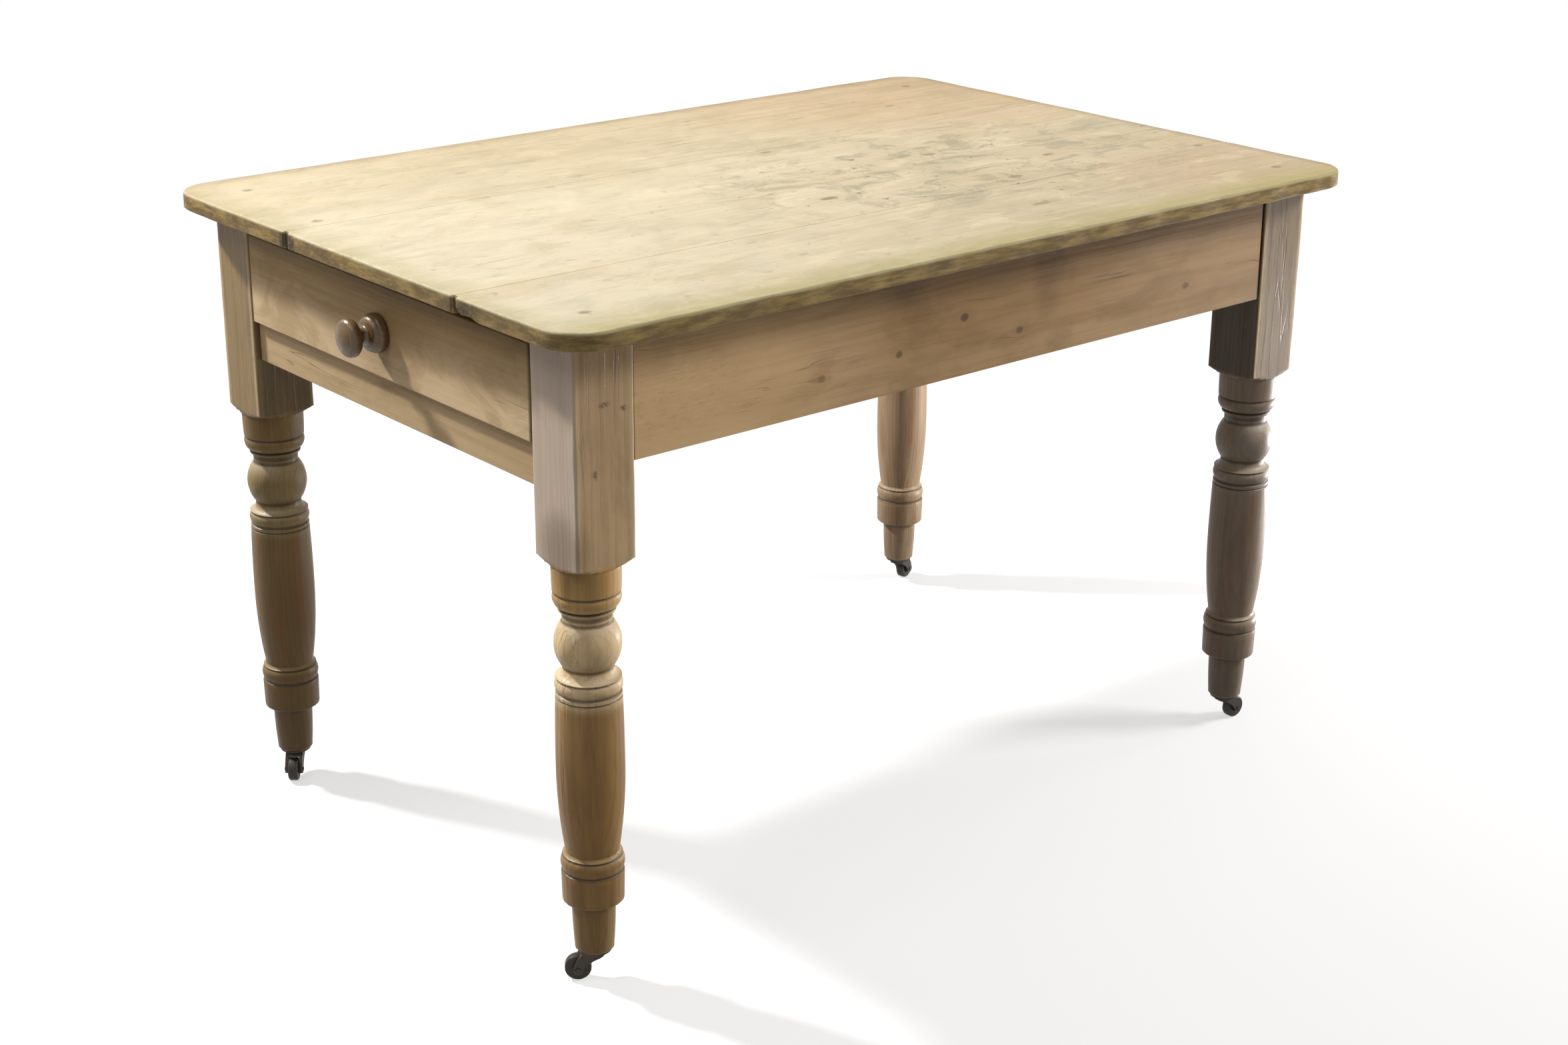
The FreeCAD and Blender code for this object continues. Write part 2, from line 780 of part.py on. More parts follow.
drawer_half = inner_y - d.drawer_side_clearance
drawer_inside = drawer_half - d.drawer_side_thickness
drawer_front_back = d.drawer_front_thickness - face_x
drawer_end = d.drawer_length - face_x
front_low = rail_high + d.drawer_front_lift
drawer_high = opening_high - d.drawer_top_clearance
side_low = rail_high + d.slide_clearance
bottom_low = side_low + d.drawer_bottom_lift
bottom_high = bottom_low + d.drawer_bottom_thickness
back_high = drawer_high - d.drawer_back_drop


def side_tails(body, kind, count, low, high, x, way, length, side, name):
    """Dovetails between a drawer side and the front (way -1) or the back (way 1).

    They are added to the side, or cut from its neighbour, with the same sizes.
    """
    pitch = (high - low) / count
    end = pitch - d.pin_width
    root = end - 2 * d.tail_flare
    for index in range(count):
        tail = body.newObject(f"PartDesign::{kind}Wedge", f"{name}_{index}")
        fit_wedge(tail, d.drawer_side_thickness, length, root, end)
        stand = FreeCAD.Rotation(FreeCAD.Vector(0, 0, way), FreeCAD.Vector(way, 0, 0), Y_AXIS, "ZYX")
        tail.Placement = FreeCAD.Placement(FreeCAD.Vector(), stand)
        y = side * drawer_half if side < 0 else drawer_inside
        put(tail, (x, y, low + pitch * (index + 0.5)))


def make_drawer_front():
    body = new_body("drawer_front")
    low = (-face_x, -drawer_half, front_low)
    add_box(body, "drawer_front_board", low, (drawer_front_back, drawer_half, drawer_high))
    face = -face_x.number

    def on_face(edge):
        return all(abs(vertex.Point.x - face) < 0.01 for vertex in edge.Vertexes)

    round_edges(body, "drawer_front_arris", d.drawer_arris, on_face)
    for name, side in SIDES:
        args = (LAP_TAILS, front_low, drawer_high, drawer_front_back, -1, d.lap_tail_length, side)
        side_tails(body, "Subtractive", *args, f"front_socket_{name}")
    groove = drawer_front_back - d.drawer_groove_depth
    low = (groove, -drawer_inside, bottom_low)
    cut_box(body, "drawer_front_groove", low, (drawer_front_back, drawer_inside, bottom_high))
    place = (-face_x, 0, knob_height)
    cut_bore(body, "knob_hole", place, d.spigot_diameter / 2, d.drawer_front_thickness, Y_AXIS, 90)


def make_drawer_sides():
    for name, side in SIDES:
        body = new_body(f"drawer_side_{name}")
        inner, outer = side * drawer_inside, side * drawer_half
        back_face = drawer_end - d.drawer_back_thickness
        board = f"drawer_{name}_board"
        add_box(body, board, (drawer_front_back, inner, side_low), (back_face, outer, drawer_high))
        heel = f"drawer_{name}_heel"
        add_box(body, heel, (drawer_front_back, inner, side_low), (drawer_end, outer, bottom_high))
        args = (LAP_TAILS, front_low, drawer_high, drawer_front_back, -1, d.lap_tail_length, side)
        side_tails(body, "Additive", *args, f"lap_tail_{name}")
        args = (BACK_TAILS, bottom_high, back_high, back_face, 1, d.drawer_back_thickness, side)
        side_tails(body, "Additive", *args, f"back_tail_{name}")
        depth = side * (drawer_inside + d.drawer_groove_depth)
        low = (drawer_front_back, inner, bottom_low)
        cut_box(body, f"drawer_{name}_groove", low, (drawer_end, depth, bottom_high))


def make_drawer_back():
    body = new_body("drawer_back")
    back_face = drawer_end - d.drawer_back_thickness
    low = (back_face, -drawer_half, bottom_high)
    add_box(body, "drawer_back_board", low, (drawer_end, drawer_half, back_high))
    for name, side in SIDES:
        args = (BACK_TAILS, bottom_high, back_high, back_face, 1, d.drawer_back_thickness, side)
        side_tails(body, "Subtractive", *args, f"back_socket_{name}")
    for index, (corner, opposite) in enumerate(drawer_nail_boxes()):
        cut_box(body, f"back_nail_hole_{index}", corner, opposite)


def drawer_nail_boxes():
    """Nails that go up through the drawer's bottom into its back."""
    half = d.drawer_nail_width / 2
    x = drawer_end - d.drawer_back_thickness / 2
    boxes = []
    for index in range(DRAWER_NAILS):
        y = drawer_inside * ((2 * index + 1) / DRAWER_NAILS - 1)
        high = bottom_low + d.drawer_nail_length
        boxes.append(((x - half, y - half, bottom_low), (x + half, y + half, high)))
    return boxes


def make_drawer_bottom():
    body = new_body("drawer_bottom")
    spare = d.drawer_groove_depth - d.drawer_groove_spare
    half = drawer_inside + spare
    low = (drawer_front_back, -half, bottom_low)
    add_box(body, "drawer_bottom_panel", low, (drawer_end, half, bottom_high))
    tongue = drawer_inside - d.drawer_groove_spare
    low = (drawer_front_back - spare, -tongue, bottom_low)
    add_box(body, "drawer_bottom_tongue", low, (drawer_end, tongue, bottom_high))
    nails = []
    for index, (corner, opposite) in enumerate(drawer_nail_boxes()):
        cut_box(body, f"bottom_nail_hole_{index}", corner, opposite)
        nails.append(loose_box(f"drawer_nail_{index}", corner, opposite))
    group("drawer_bottom_nails", nails)


def make_knob():
    """A knob turned in one with its rose and its spigot, about an axis that points out."""
    body = new_body("drawer_knob")
    sketch = new_sketch(body, "knob_profile", "XZ_Plane")
    rose = d.rose_diameter / 2
    neck = d.knob_neck_diameter / 2
    neck_high = d.rose_length + d.knob_neck_length
    end = neck_high + d.knob_head_length
    rim_high = end - d.knob_dome_length
    rim_low = rim_high - d.knob_rim_length
    rim = d.knob_head_diameter / 2
    edge = d.knob_rim_edge
    points = [
        (0, -d.drawer_front_thickness, 0),
        (d.spigot_diameter / 2, -d.drawer_front_thickness, 0),
        (d.spigot_diameter / 2, 0, 0),
        (rose, 0, 0),
        (rose, d.rose_rim_length, 0),
        (d.rose_top_diameter / 2, d.rose_length, 0),
        (neck + d.knob_neck_flare, d.rose_length, -d.knob_neck_flare),
        (neck, neck_high, edge),
        (rim - edge / 2, rim_low, 0),
        (rim, rim_low + edge, 0),
        (rim, rim_high - edge, 0),
        (rim - edge, rim_high, d.knob_dome_swell),
        (d.knob_flat_diameter / 2, end, 0),
        (0, end, 0),
    ]
    draw_outline(sketch, points)
    revolve(body, "knob_turning", sketch)
    turn(body, Y_AXIS, -90)
    put(body, (-face_x, 0, knob_height))


# ---- Casters ------------------------------------------------------------------------

plate_low = d.caster_height - d.plate_thickness
boss_high = plate_low - d.swivel_gap
boss_low = boss_high - d.fork_boss_thickness
axle_height = d.wheel_diameter / 2


def make_plate(name, way, side):
    """The fixed part of a caster: its stem in the leg, its plate, and the pin with its head."""
    body = new_body(f"caster_plate_{name}")
    sketch = new_sketch(body, f"{name}_plate_profile", "XZ_Plane")
    head_high = boss_low - d.swivel_gap
    head_low = head_high - d.pin_head_thickness
    head, pin, plate = d.pin_head_diameter / 2, d.pin_diameter / 2, d.plate_diameter / 2
    stem_high = d.caster_height + d.stem_length
    points = [(0, head_low, 0), (pin, head_low, 0), (head, head_high, 0), (pin, head_high, 0)]
    points += [(pin, plate_low, 0), (plate, plate_low, 0), (plate, d.caster_height, 0)]
    points += [(pin, d.caster_height, 0), (pin, stem_high, 0), (0, stem_high, 0)]
    draw_outline(sketch, points)
    revolve(body, f"{name}_plate", sketch)
    put(body, (way * leg_x, side * leg_y, 0))


def make_fork(name, way, side):
    """The swivelling fork: a boss round the pin, and two cheeks that trail to the axle."""
    body = new_body(f"caster_fork_{name}")
    boss = d.fork_boss_diameter / 2
    eye = d.fork_eye_diameter / 2
    trail = d.wheel_trail
    sketch = new_sketch(body, f"{name}_cheek_outline", "XZ_Plane", d.fork_width / -2)
    points = [
        (-boss, boss_low, -eye / 2),
        (trail - eye, axle_height, eye * QUARTER_SWELL),
        (trail, axle_height - eye, eye * QUARTER_SWELL),
        (trail + eye, axle_height, d.fork_eye_swell),
        (boss, boss_high, 0),
        (-boss, boss_high, 0),
    ]
    draw_outline(sketch, points)
    add_pad(body, f"{name}_cheeks", sketch, d.fork_width)

    def at_back(edge):
        return is_upright(edge) and edge.Vertexes[0].Point.x < 0

    round_edges(body, f"{name}_fork_back", d.fork_back_radius, at_back)
    half = d.wheel_width / 2 + d.wheel_side_gap
    slot_x = -d.pin_head_diameter / 2 - d.swivel_gap
    cut_box(body, f"{name}_wheel_slot", (slot_x, -half, 0), (trail + boss * 2, half, boss_low))
    bore = d.pin_diameter / 2 + d.running_clearance
    cut_bore(body, f"{name}_pin_bore", (0, 0, boss_low), bore, d.fork_boss_thickness)
    start = (trail, d.fork_width / 2, axle_height)
    cut_bore(body, f"{name}_axle_hole", start, d.axle_diameter / 2, d.fork_width, X_AXIS, 90)
    stand_caster(body, name, way, side)


def stand_caster(body, name, way, side):
    """Place a piece of a swivelling caster, turned the way that its wheel trails."""
    yaw = getattr(d, f"yaw_{name}")
    turn(body, Z_AXIS, yaw.number)
    bind(body, ".Placement.Rotation.Angle", yaw)
    put(body, (way * leg_x, side * leg_y, 0))


def make_axle(name, way, side):
    """A plain axle, with its ends proud of the fork."""
    tip, radius = d.fork_width / 2 + d.axle_end, d.axle_diameter / 2
    points = [(0, -tip, 0), (radius, -tip, 0), (radius, tip, 0), (0, tip, 0)]
    lay_across(f"caster_axle_{name}", points, name, way, side)


def make_wheel(name, way, side):
    """A solid wheel with chamfered edges."""
    rim, half = d.wheel_diameter / 2, d.wheel_width / 2
    bore = d.axle_diameter / 2 + d.running_clearance
    right = [(bore, -half, 0), (rim - d.wheel_edge, -half, 0), (rim, d.wheel_edge - half, 0)]
    left = [(radius, -height, 0) for radius, height, _ in reversed(right)]
    lay_across(f"caster_wheel_{name}", right + left, name, way, side)


def lay_across(label, points, name, way, side):
    """Turn a profile about the axle of a caster."""
    body = new_body(label)
    sketch = new_sketch(body, f"{label}_profile", "XY_Plane", axle_height)
    bind(sketch, ".AttachmentOffset.Base.x", d.wheel_trail)
    draw_outline(sketch, points)
    revolve(body, f"{label}_turning", sketch)
    stand_caster(body, name, way, side)


def check_and_export():
    """Stop at a failed object, then write each node to its own file."""
    doc.recompute()
    for item in doc.Objects:
        if "Invalid" in item.State or "Error" in item.State:
            raise RuntimeError(f"{item.Label} failed: {item.State}")
    os.makedirs("parts", exist_ok=True)
    used = {part for item in doc.Objects for part in item.OutList}
    kinds = ("PartDesign::Body", "Part::Compound", "Part::Box")
    for item in doc.Objects:
        if item.TypeId in kinds and item not in used:
            if item.Shape.isNull() or not item.Shape.isValid():
                raise RuntimeError(f"{item.Label} has a bad shape")
            item.Shape.exportStep(f"parts/{item.Label}.step")


make_top()
for corner in CORNERS:
    make_leg(*corner)
make_side_apron("left", 1, Size(0), Size(0))
make_side_apron("right", -1, d.apron_gap_bottom, d.apron_gap_top)
make_end_apron()
make_lower_rail()
make_upper_rail()
make_drawer_ways()
make_drawer_front()
make_drawer_sides()
make_drawer_back()
make_drawer_bottom()
make_knob()
for corner in CORNERS:
    make_plate(*corner)
    make_fork(*corner)
    make_axle(*corner)
    make_wheel(*corner)
check_and_export()
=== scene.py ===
import math

import bmesh
import bpy
from mathutils import Matrix, Vector, noise


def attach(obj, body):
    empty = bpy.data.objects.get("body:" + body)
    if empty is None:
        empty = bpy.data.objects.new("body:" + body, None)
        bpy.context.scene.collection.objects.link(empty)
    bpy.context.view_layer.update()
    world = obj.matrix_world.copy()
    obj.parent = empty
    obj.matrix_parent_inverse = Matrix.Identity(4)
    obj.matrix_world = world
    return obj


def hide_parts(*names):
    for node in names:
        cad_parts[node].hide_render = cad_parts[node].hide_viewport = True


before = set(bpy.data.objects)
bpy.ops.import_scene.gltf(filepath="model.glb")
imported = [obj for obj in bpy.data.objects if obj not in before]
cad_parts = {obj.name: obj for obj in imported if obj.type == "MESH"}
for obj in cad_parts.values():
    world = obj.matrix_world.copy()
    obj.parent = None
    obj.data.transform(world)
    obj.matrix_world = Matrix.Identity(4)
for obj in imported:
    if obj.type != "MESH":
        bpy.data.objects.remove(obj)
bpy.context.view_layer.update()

# A pine kitchen table on turned legs. Metres, Z up, X along the top, the drawer at the -X end.
# Shapes, knots and spots are written in millimetres and scaled by MM. The fades in materials
# compare places in metres.

MM = 0.001
scene = bpy.context.scene


# ---- Camera, light and floor ----------------------------------------------------------

CAMERA_PLACE = (-1.933, -2.300, 1.454)
CAMERA_AZIMUTH, CAMERA_ELEVATION, CAMERA_ROLL = -40.31, 20.68, 0.42
CAMERA_LENS, CAMERA_SENSOR = 56.70, 36

WARM, COOL = (1.0, 0.98, 0.95), (0.98, 0.99, 1.0)
TABLE_MIDDLE = (0, 0, 0.55)
REAR_LEG = (0.534, -0.26, 0.12)

# Name, azimuth, elevation, distance, size, power and colour of each lamp, and where it shines.
LAMPS = [
    ("left", -147, 41, 3.6, 0.24, 168, WARM, TABLE_MIDDLE),
    ("right", 55, 28, 3.6, 0.8, 96, WARM, TABLE_MIDDLE),
    ("front", -82, 46, 3.6, 1.2, 18, WARM, TABLE_MIDDLE),
    ("window", 78, 0, 1.2, 0.3, 17, COOL, REAR_LEG),
]

FLOOR_HALF = 14.0
FLOOR_TONE = (0.22, 0.21, 0.20, 1)
ROOM_LIGHT = 0.22
WHITE = (1.0, 1.0, 1.0, 1)


def backward(azimuth, elevation):
    """The direction from what is looked at back to the one who looks, from angles in degrees."""
    turn, rise = math.radians(azimuth), math.radians(elevation)
    return Vector((math.sin(turn) * math.cos(rise), -math.cos(turn) * math.cos(rise), math.sin(rise)))


def aim(place, azimuth, elevation, roll=0.0):
    """The matrix of a camera or lamp at place that looks along the given angles in degrees."""
    back = backward(azimuth, elevation)
    across = Vector((0, 0, 1)).cross(back).normalized()
    axes = Matrix((across, back.cross(across), back)).transposed()
    return Matrix.Translation(place) @ (axes @ Matrix.Rotation(math.radians(roll), 3, "Z")).to_4x4()


def add_camera():
    data = bpy.data.cameras.new("camera")
    data.sensor_fit = "HORIZONTAL"
    data.sensor_width = CAMERA_SENSOR
    data.lens = CAMERA_LENS
    camera = bpy.data.objects.new("camera", data)
    camera.matrix_world = aim(CAMERA_PLACE, CAMERA_AZIMUTH, CAMERA_ELEVATION, CAMERA_ROLL)
    scene.collection.objects.link(camera)
    scene.camera = camera


def add_lamp(name, azimuth, elevation, distance, size, power, colour, middle):
    """A square lamp that shines at middle from azimuth and elevation."""
    data = bpy.data.lights.new(name, "AREA")
    data.size = size
    data.energy = power
    data.color = colour
    lamp = bpy.data.objects.new(name, data)
    place = Vector(middle) + backward(azimuth, elevation) * distance
    lamp.matrix_world = aim(place, azimuth, elevation)
    scene.collection.objects.link(lamp)


# ---- Nodes ----------------------------------------------------------------------------


def srgb(red, green, blue):
    """A colour written with 8-bit sRGB numbers, as Blender's linear one."""
    parts = [channel / 255 for channel in (red, green, blue)]
    linear = [part / 12.92 if part <= 0.04045 else ((part + 0.055) / 1.055) ** 2.4 for part in parts]
    return (*linear, 1)


class Net:
    """A short way to write nodes: each call adds one node and returns one of its outputs."""

    def __init__(self, tree):
        self.tree = tree
        tree.nodes.clear()

    def node(self, kind, inputs, out=0, **props):
        made = self.tree.nodes.new(kind)
        for key, value in props.items():
            setattr(made, key, value)
        for key, value in inputs.items():
            if isinstance(value, bpy.types.NodeSocket):
                self.tree.links.new(value, made.inputs[key])
            else:
                made.inputs[key].default_value = value
        return made.outputs[out] if made.outputs else None

    def math(self, operation, one, two=0.0):
        return self.node("ShaderNodeMath", {0: one, 1: two}, operation=operation)

    def highest(self, one, two):
        return self.math("MAXIMUM", one, two)

    def size(self, value):
        return self.math("ABSOLUTE", value)

    def add(self, one, two):
        return self.math("ADD", one, two)

    def sub(self, one, two):
        return self.math("SUBTRACT", one, two)

    def mul(self, one, two):
        return self.math("MULTIPLY", one, two)

    def join(self, x, y, z):
        return self.node("ShaderNodeCombineXYZ", {0: x, 1: y, 2: z})

    def split(self, vector):
        made = self.tree.nodes.new("ShaderNodeSeparateXYZ")
        self.tree.links.new(vector, made.inputs[0])
        return list(made.outputs)

    def noise(self, vector, scale=1.0, detail=3.0, roughness=0.55, distortion=0.0):
        inputs = {"Vector": vector, "Scale": scale, "Detail": detail}
        inputs |= {"Roughness": roughness, "Distortion": distortion}
        return self.node("ShaderNodeTexNoise", inputs)

    def fade(self, value, start, end, low=0.0, high=1.0, smooth=True):
        """Goes from low to high while value goes from start to end."""
        inputs = {0: value, 1: start, 2: end, 3: low, 4: high}
        kind = "SMOOTHSTEP" if smooth else "LINEAR"
        return self.node("ShaderNodeMapRange", inputs, interpolation_type=kind)

    def ramp(self, value, stops):
        """Stops are (position, grey level)."""
        made = self.tree.nodes.new("ShaderNodeValToRGB")
        self.tree.links.new(value, made.inputs[0])
        elements = made.color_ramp.elements
        elements.remove(elements[1])
        for index, (position, grey) in enumerate(stops):
            element = elements.new(position) if index else elements[0]
            element.position = position
            element.color = (grey, grey, grey, 1)
        return made.outputs[0]

    def mix(self, factor, one, two, blend="MIX"):
        made = self.tree.nodes.new("ShaderNodeMix")
        made.data_type = "RGBA"
        made.blend_type = blend
        for socket, value in ((made.inputs[0], factor), (made.inputs[6], one), (made.inputs[7], two)):
            if isinstance(value, bpy.types.NodeSocket):
                self.tree.links.new(value, socket)
            else:
                socket.default_value = value
        return made.outputs[2]

    def tint(self, share, colour, tone):
        """The colour times tone's red, green and blue, as far as share says."""
        return self.mix(share, colour, (*tone, 1), "MULTIPLY")

    def surface(self, colour, rough, height, relief, depth, **more):
        """End a material: its colour, its roughness, and height as a relief of depth in metres."""
        bump = self.node("ShaderNodeBump", {"Strength": relief, "Distance": depth, "Height": height})
        inputs = {"Base Color": colour, "Roughness": rough, "Normal": bump} | more
        shader = self.node("ShaderNodeBsdfPrincipled", inputs)
        self.node("ShaderNodeOutputMaterial", {"Surface": shader})

    def seen(self):
        """1 for rays from the camera, in mirrors and through glass, and 0 for other light."""
        path = self.tree.nodes.new("ShaderNodeLightPath").outputs
        direct = self.highest(path["Is Camera Ray"], path["Is Glossy Ray"])
        return self.highest(direct, path["Is Transmission Ray"])


def new_net(name):
    material = bpy.data.materials.new(name)
    material.use_nodes = True
    return material, Net(material.node_tree)


# ---- Pine -----------------------------------------------------------------------------


def board_axes(net, grain, face):
    """Object coordinates along the grain, across the board and through it."""
    place = net.split(net.node("ShaderNodeTexCoord", {}, out=3))
    along, through = "XYZ".index(grain), "XYZ".index(face)
    return place[along], place[3 - along - through], place[through]


def warp_round_knots(net, along, across, knots):
    """Where the grain bends round each knot, and how deep in a knot and its halo a point lies."""
    bent, dark, halo = across, 0.0, 0.0
    for knot_along, knot_across, length, width, strength in knots:
        run = net.sub(along, knot_along * MM)
        rise = net.sub(across, knot_across * MM)
        run_part = net.math("POWER", net.size(net.mul(run, 1 / (length * MM))), 2)
        rise_part = net.math("POWER", net.size(net.mul(rise, 1 / (width * MM))), 2)
        away = net.add(run_part, rise_part)
        pull = net.math("EXPONENT", net.mul(away, -0.16))
        bent = net.sub(bent, net.mul(net.mul(rise, pull), 0.75))
        dark = net.highest(dark, net.fade(away, 1.1, 0.15, 0.0, strength))
        halo = net.highest(halo, net.fade(away, 9.0, 0.8, 0.0, strength))
    return bent, dark, halo


def growth_rings(net, along, across, through, pith, spacing, waver, seed):
    """0 in the pale spring wood of each ring, and 1 in its dark summer wood."""
    drift = net.noise(net.join(net.mul(along, 1.6), net.mul(across, 4.0), seed), 1.0, 2.0)
    wave = net.mul(net.sub(drift, 0.5), waver * MM)
    side = net.sub(net.add(across, wave), pith[0] * MM)
    rise = net.sub(through, pith[1] * MM)
    radius = net.math("SQRT", net.add(net.mul(side, side), net.mul(rise, rise)))
    small = net.noise(net.join(net.mul(along, 9.0), net.mul(across, 60.0), net.mul(through, 60.0)), 1.0, 2.0)
    radius = net.add(radius, net.mul(net.sub(small, 0.5), spacing * MM * 1.1))
    part = net.math("FRACT", net.mul(radius, 1 / (spacing * MM)))
    return net.ramp(part, [(0.0, 0.25), (0.12, 0.0), (0.5, 0.1), (0.8, 0.85), (0.92, 1.0), (1.0, 0.25)])


def checks(net, along, across, through, seed):
    """1 in thin cracks that run along the grain in some parts of the board."""
    line_place = net.join(net.add(net.mul(along, 2.6), seed), net.mul(across, 60.0), net.mul(through, 60.0))
    line = net.size(net.sub(net.noise(line_place, 1.0, 2.0, 0.5), 0.5))
    where_place = net.join(net.mul(along, 5.0), net.mul(across, 17.0), net.add(net.mul(through, 17.0), seed))
    where = net.fade(net.noise(where_place, 1.0, 2.0, 0.5), 0.53, 0.64)
    return net.mul(net.fade(line, 0.012, 0.002), where)


def pine(name, grain, face, pith, spacing, waver, seed, tones, knots=(), grime_share=0.35, figure=0.32,
         fleck=0.5, streaks=0.5, crack=0.5, marks_and_light=None, roughness=0.62, gloss=0.32):
    """Old scrubbed pine. Its rings lie about pith, in millimetres across the board and through it.

    tones are its light, dark and grimy colours. marks_and_light(net, colour, axes) adds stains, wear and
    painted light and shade of its own.
    """
    light, dark, grime = tones
    material, net = new_net(name)
    axes = board_axes(net, grain, face)
    along, across, through = axes
    bent, knot, halo = warp_round_knots(net, along, across, knots)
    rings = growth_rings(net, along, bent, through, pith, spacing, waver, seed)

    fibre_place = net.join(net.mul(along, 14.0), net.mul(bent, 620.0), net.mul(through, 620.0))
    fibre = net.noise(fibre_place, 1.0, 3.0, 0.6)
    shifted = net.add(net.mul(along, 3.0), seed)
    streak_place = net.join(shifted, net.mul(bent, 85.0), net.mul(through, 85.0))
    streak = net.noise(streak_place, 1.0, 5.0, 0.65)
    shifted = net.add(net.mul(along, 5.0), seed)
    thread_place = net.join(shifted, net.mul(bent, 260.0), net.mul(through, 260.0))
    thread = net.noise(thread_place, 1.0, 3.0, 0.6)
    shifted = net.add(net.mul(along, 5.0), seed * 3)
    blotch_place = net.join(shifted, net.mul(across, 12.0), net.mul(through, 12.0))
    blotch = net.noise(blotch_place, 1.0, 5.0, 0.62, 0.5)
    crackle = checks(net, along, bent, through, seed)

    colour = net.mix(net.mul(rings, figure), light, dark)
    colour = net.mix(net.fade(streak, 0.44, 0.70, 0.0, streaks), colour, dark)
    colour = net.mix(net.fade(thread, 0.54, 0.72, 0.0, 0.4 * fleck), colour, grime)
    colour = net.mix(net.fade(blotch, 0.44, 0.68, 0.0, grime_share), colour, grime)
    colour = net.mix(net.fade(fibre, 0.60, 0.80, 0.0, fleck * 0.5), colour, grime)
    colour = net.mix(net.mul(halo, 0.45), colour, dark)
    knot_colour = net.mix(net.fade(fibre, 0.3, 0.7), srgb(92, 58, 34), srgb(52, 32, 20))
    colour = net.mix(knot, colour, knot_colour)
    colour = net.mix(net.mul(crackle, crack), colour, srgb(70, 50, 30))
    if marks_and_light:
        colour = marks_and_light(net, colour, axes)

    height = net.add(net.mul(fibre, 0.30), net.mul(rings, 0.30))
    height = net.add(height, net.mul(net.noise(net.join(along, across, through), 26.0, 3.0), 0.9))
    height = net.sub(height, net.mul(knot, 0.3))
    height = net.sub(height, net.mul(crackle, 0.8))
    uneven = net.add(net.mul(streak, 0.6), net.mul(fibre, 0.4))
    rough = net.fade(uneven, 0.3, 0.7, roughness - 0.1, roughness + 0.12)
    net.surface(colour, rough, height, 0.35, 0.0009, **{"Specular IOR Level": gloss})
    return material


def spot(net, axes, place, reach, soft):
    """1 inside an ellipse about place with the given reach in millimetres, fading outwards."""
    total = 0.0
    for axis, middle, size in zip(axes, place, reach):
        step = net.mul(net.sub(axis, middle * MM), 1 / (size * MM))
        total = net.add(total, net.mul(step, step))
    return net.fade(total, 1 + soft, 1 - soft)


def iron(name, base, rust, roughness):
    """Old iron: dark, uneven, with brown rust in patches and paler worn spots."""
    material, net = new_net(name)
    place = net.node("ShaderNodeTexCoord", {}, out=3)
    patch = net.noise(place, 90.0, 5.0, 0.65)
    grit = net.noise(place, 900.0, 3.0, 0.6)
    colour = net.mix(net.fade(patch, 0.45, 0.65, 0.0, 0.5), base, rust)
    colour = net.mix(net.fade(grit, 0.62, 0.8, 0.0, 0.35), colour, srgb(120, 110, 98))
    height = net.add(net.mul(patch, 0.6), net.mul(grit, 0.4))
    rough = net.fade(patch, 0.35, 0.7, roughness - 0.12, roughness + 0.2)
    net.surface(colour, rough, height, 0.5, 0.0006, **{"Metallic": 0.65})
    return material


# ---- Mesh helpers ---------------------------------------------------------------------


def new_piece(name, points, faces, material, nodes, body, sharp=35):
    """A piece from points in millimetres that stands for CAD nodes and rides on a body."""
    mesh = bpy.data.meshes.new(name)
    mesh.from_pydata([Vector(point) * MM for point in points], [], faces)
    work = bmesh.new()
    work.from_mesh(mesh)
    bmesh.ops.recalc_face_normals(work, faces=work.faces)
    work.to_mesh(mesh)
    work.free()
    mesh.shade_smooth()
    mesh.set_sharp_from_angle(angle=math.radians(sharp))
    mesh.materials.append(material)
    piece = bpy.data.objects.new(name, mesh)
    scene.collection.objects.link(piece)
    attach(piece, body)
    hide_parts(*nodes)


def bridge(faces, low, high, count):
    """Quads between two closed loops of count points that start at low and at high."""
    for index in range(count):
        after = (index + 1) % count
        faces.append((low + index, low + after, high + after, high + index))


def curve(start, end, bulge, steps):
    """Points (a, b) of the arc from start to end that swells by bulge to its right, without end."""
    (ax, ay), (bx, by) = start, end
    if not bulge:
        return [(ax + (bx - ax) * step / steps, ay + (by - ay) * step / steps) for step in range(steps)]
    length = math.hypot(bx - ax, by - ay)
    swell = abs(bulge)
    radius = (swell**2 + length**2 / 4) / (2 * swell)
    side = math.copysign(1, bulge)
    nx, ny = (by - ay) / length, (ax - bx) / length
    cx = (ax + bx) / 2 - nx * side * (radius - swell)
    cy = (ay + by) / 2 - ny * side * (radius - swell)
    first, last = math.atan2(ay - cy, ax - cx), math.atan2(by - cy, bx - cx)
    sweep = (last - first) % (2 * math.pi) if side > 0 else -((first - last) % (2 * math.pi))
    angles = [first + sweep * step / steps for step in range(steps)]
    return [(cx + radius * math.cos(angle), cy + radius * math.sin(angle)) for angle in angles]


def profile(points):
    """Fill in a profile of (radius, height, bulge, steps); each point starts its own stretch."""
    line = []
    for (r, z, bulge, steps), (next_r, next_z, _, _) in zip(points, points[1:]):
        line += curve((r, z), (next_r, next_z), bulge, steps)
    return line + [points[-1][:2]]


# ---- Top ------------------------------------------------------------------------------

LENGTH, WIDTH, TOP, THICK = 1218.0, 831.0, 775.0, 20.0
SEAMS, HALF_GAP = (135.0, -210.0), 0.25
CORNER_RADIUS = 50

# The flat part of a board ends this far inside its outline, where its rounded rim starts. At a
# seam its corners keep only a small radius.
INSET, SEAM_RADIUS = 7.0, 0.5
COLUMNS, ROW_SPACING, CORNER_STEPS = 116, 12, 10

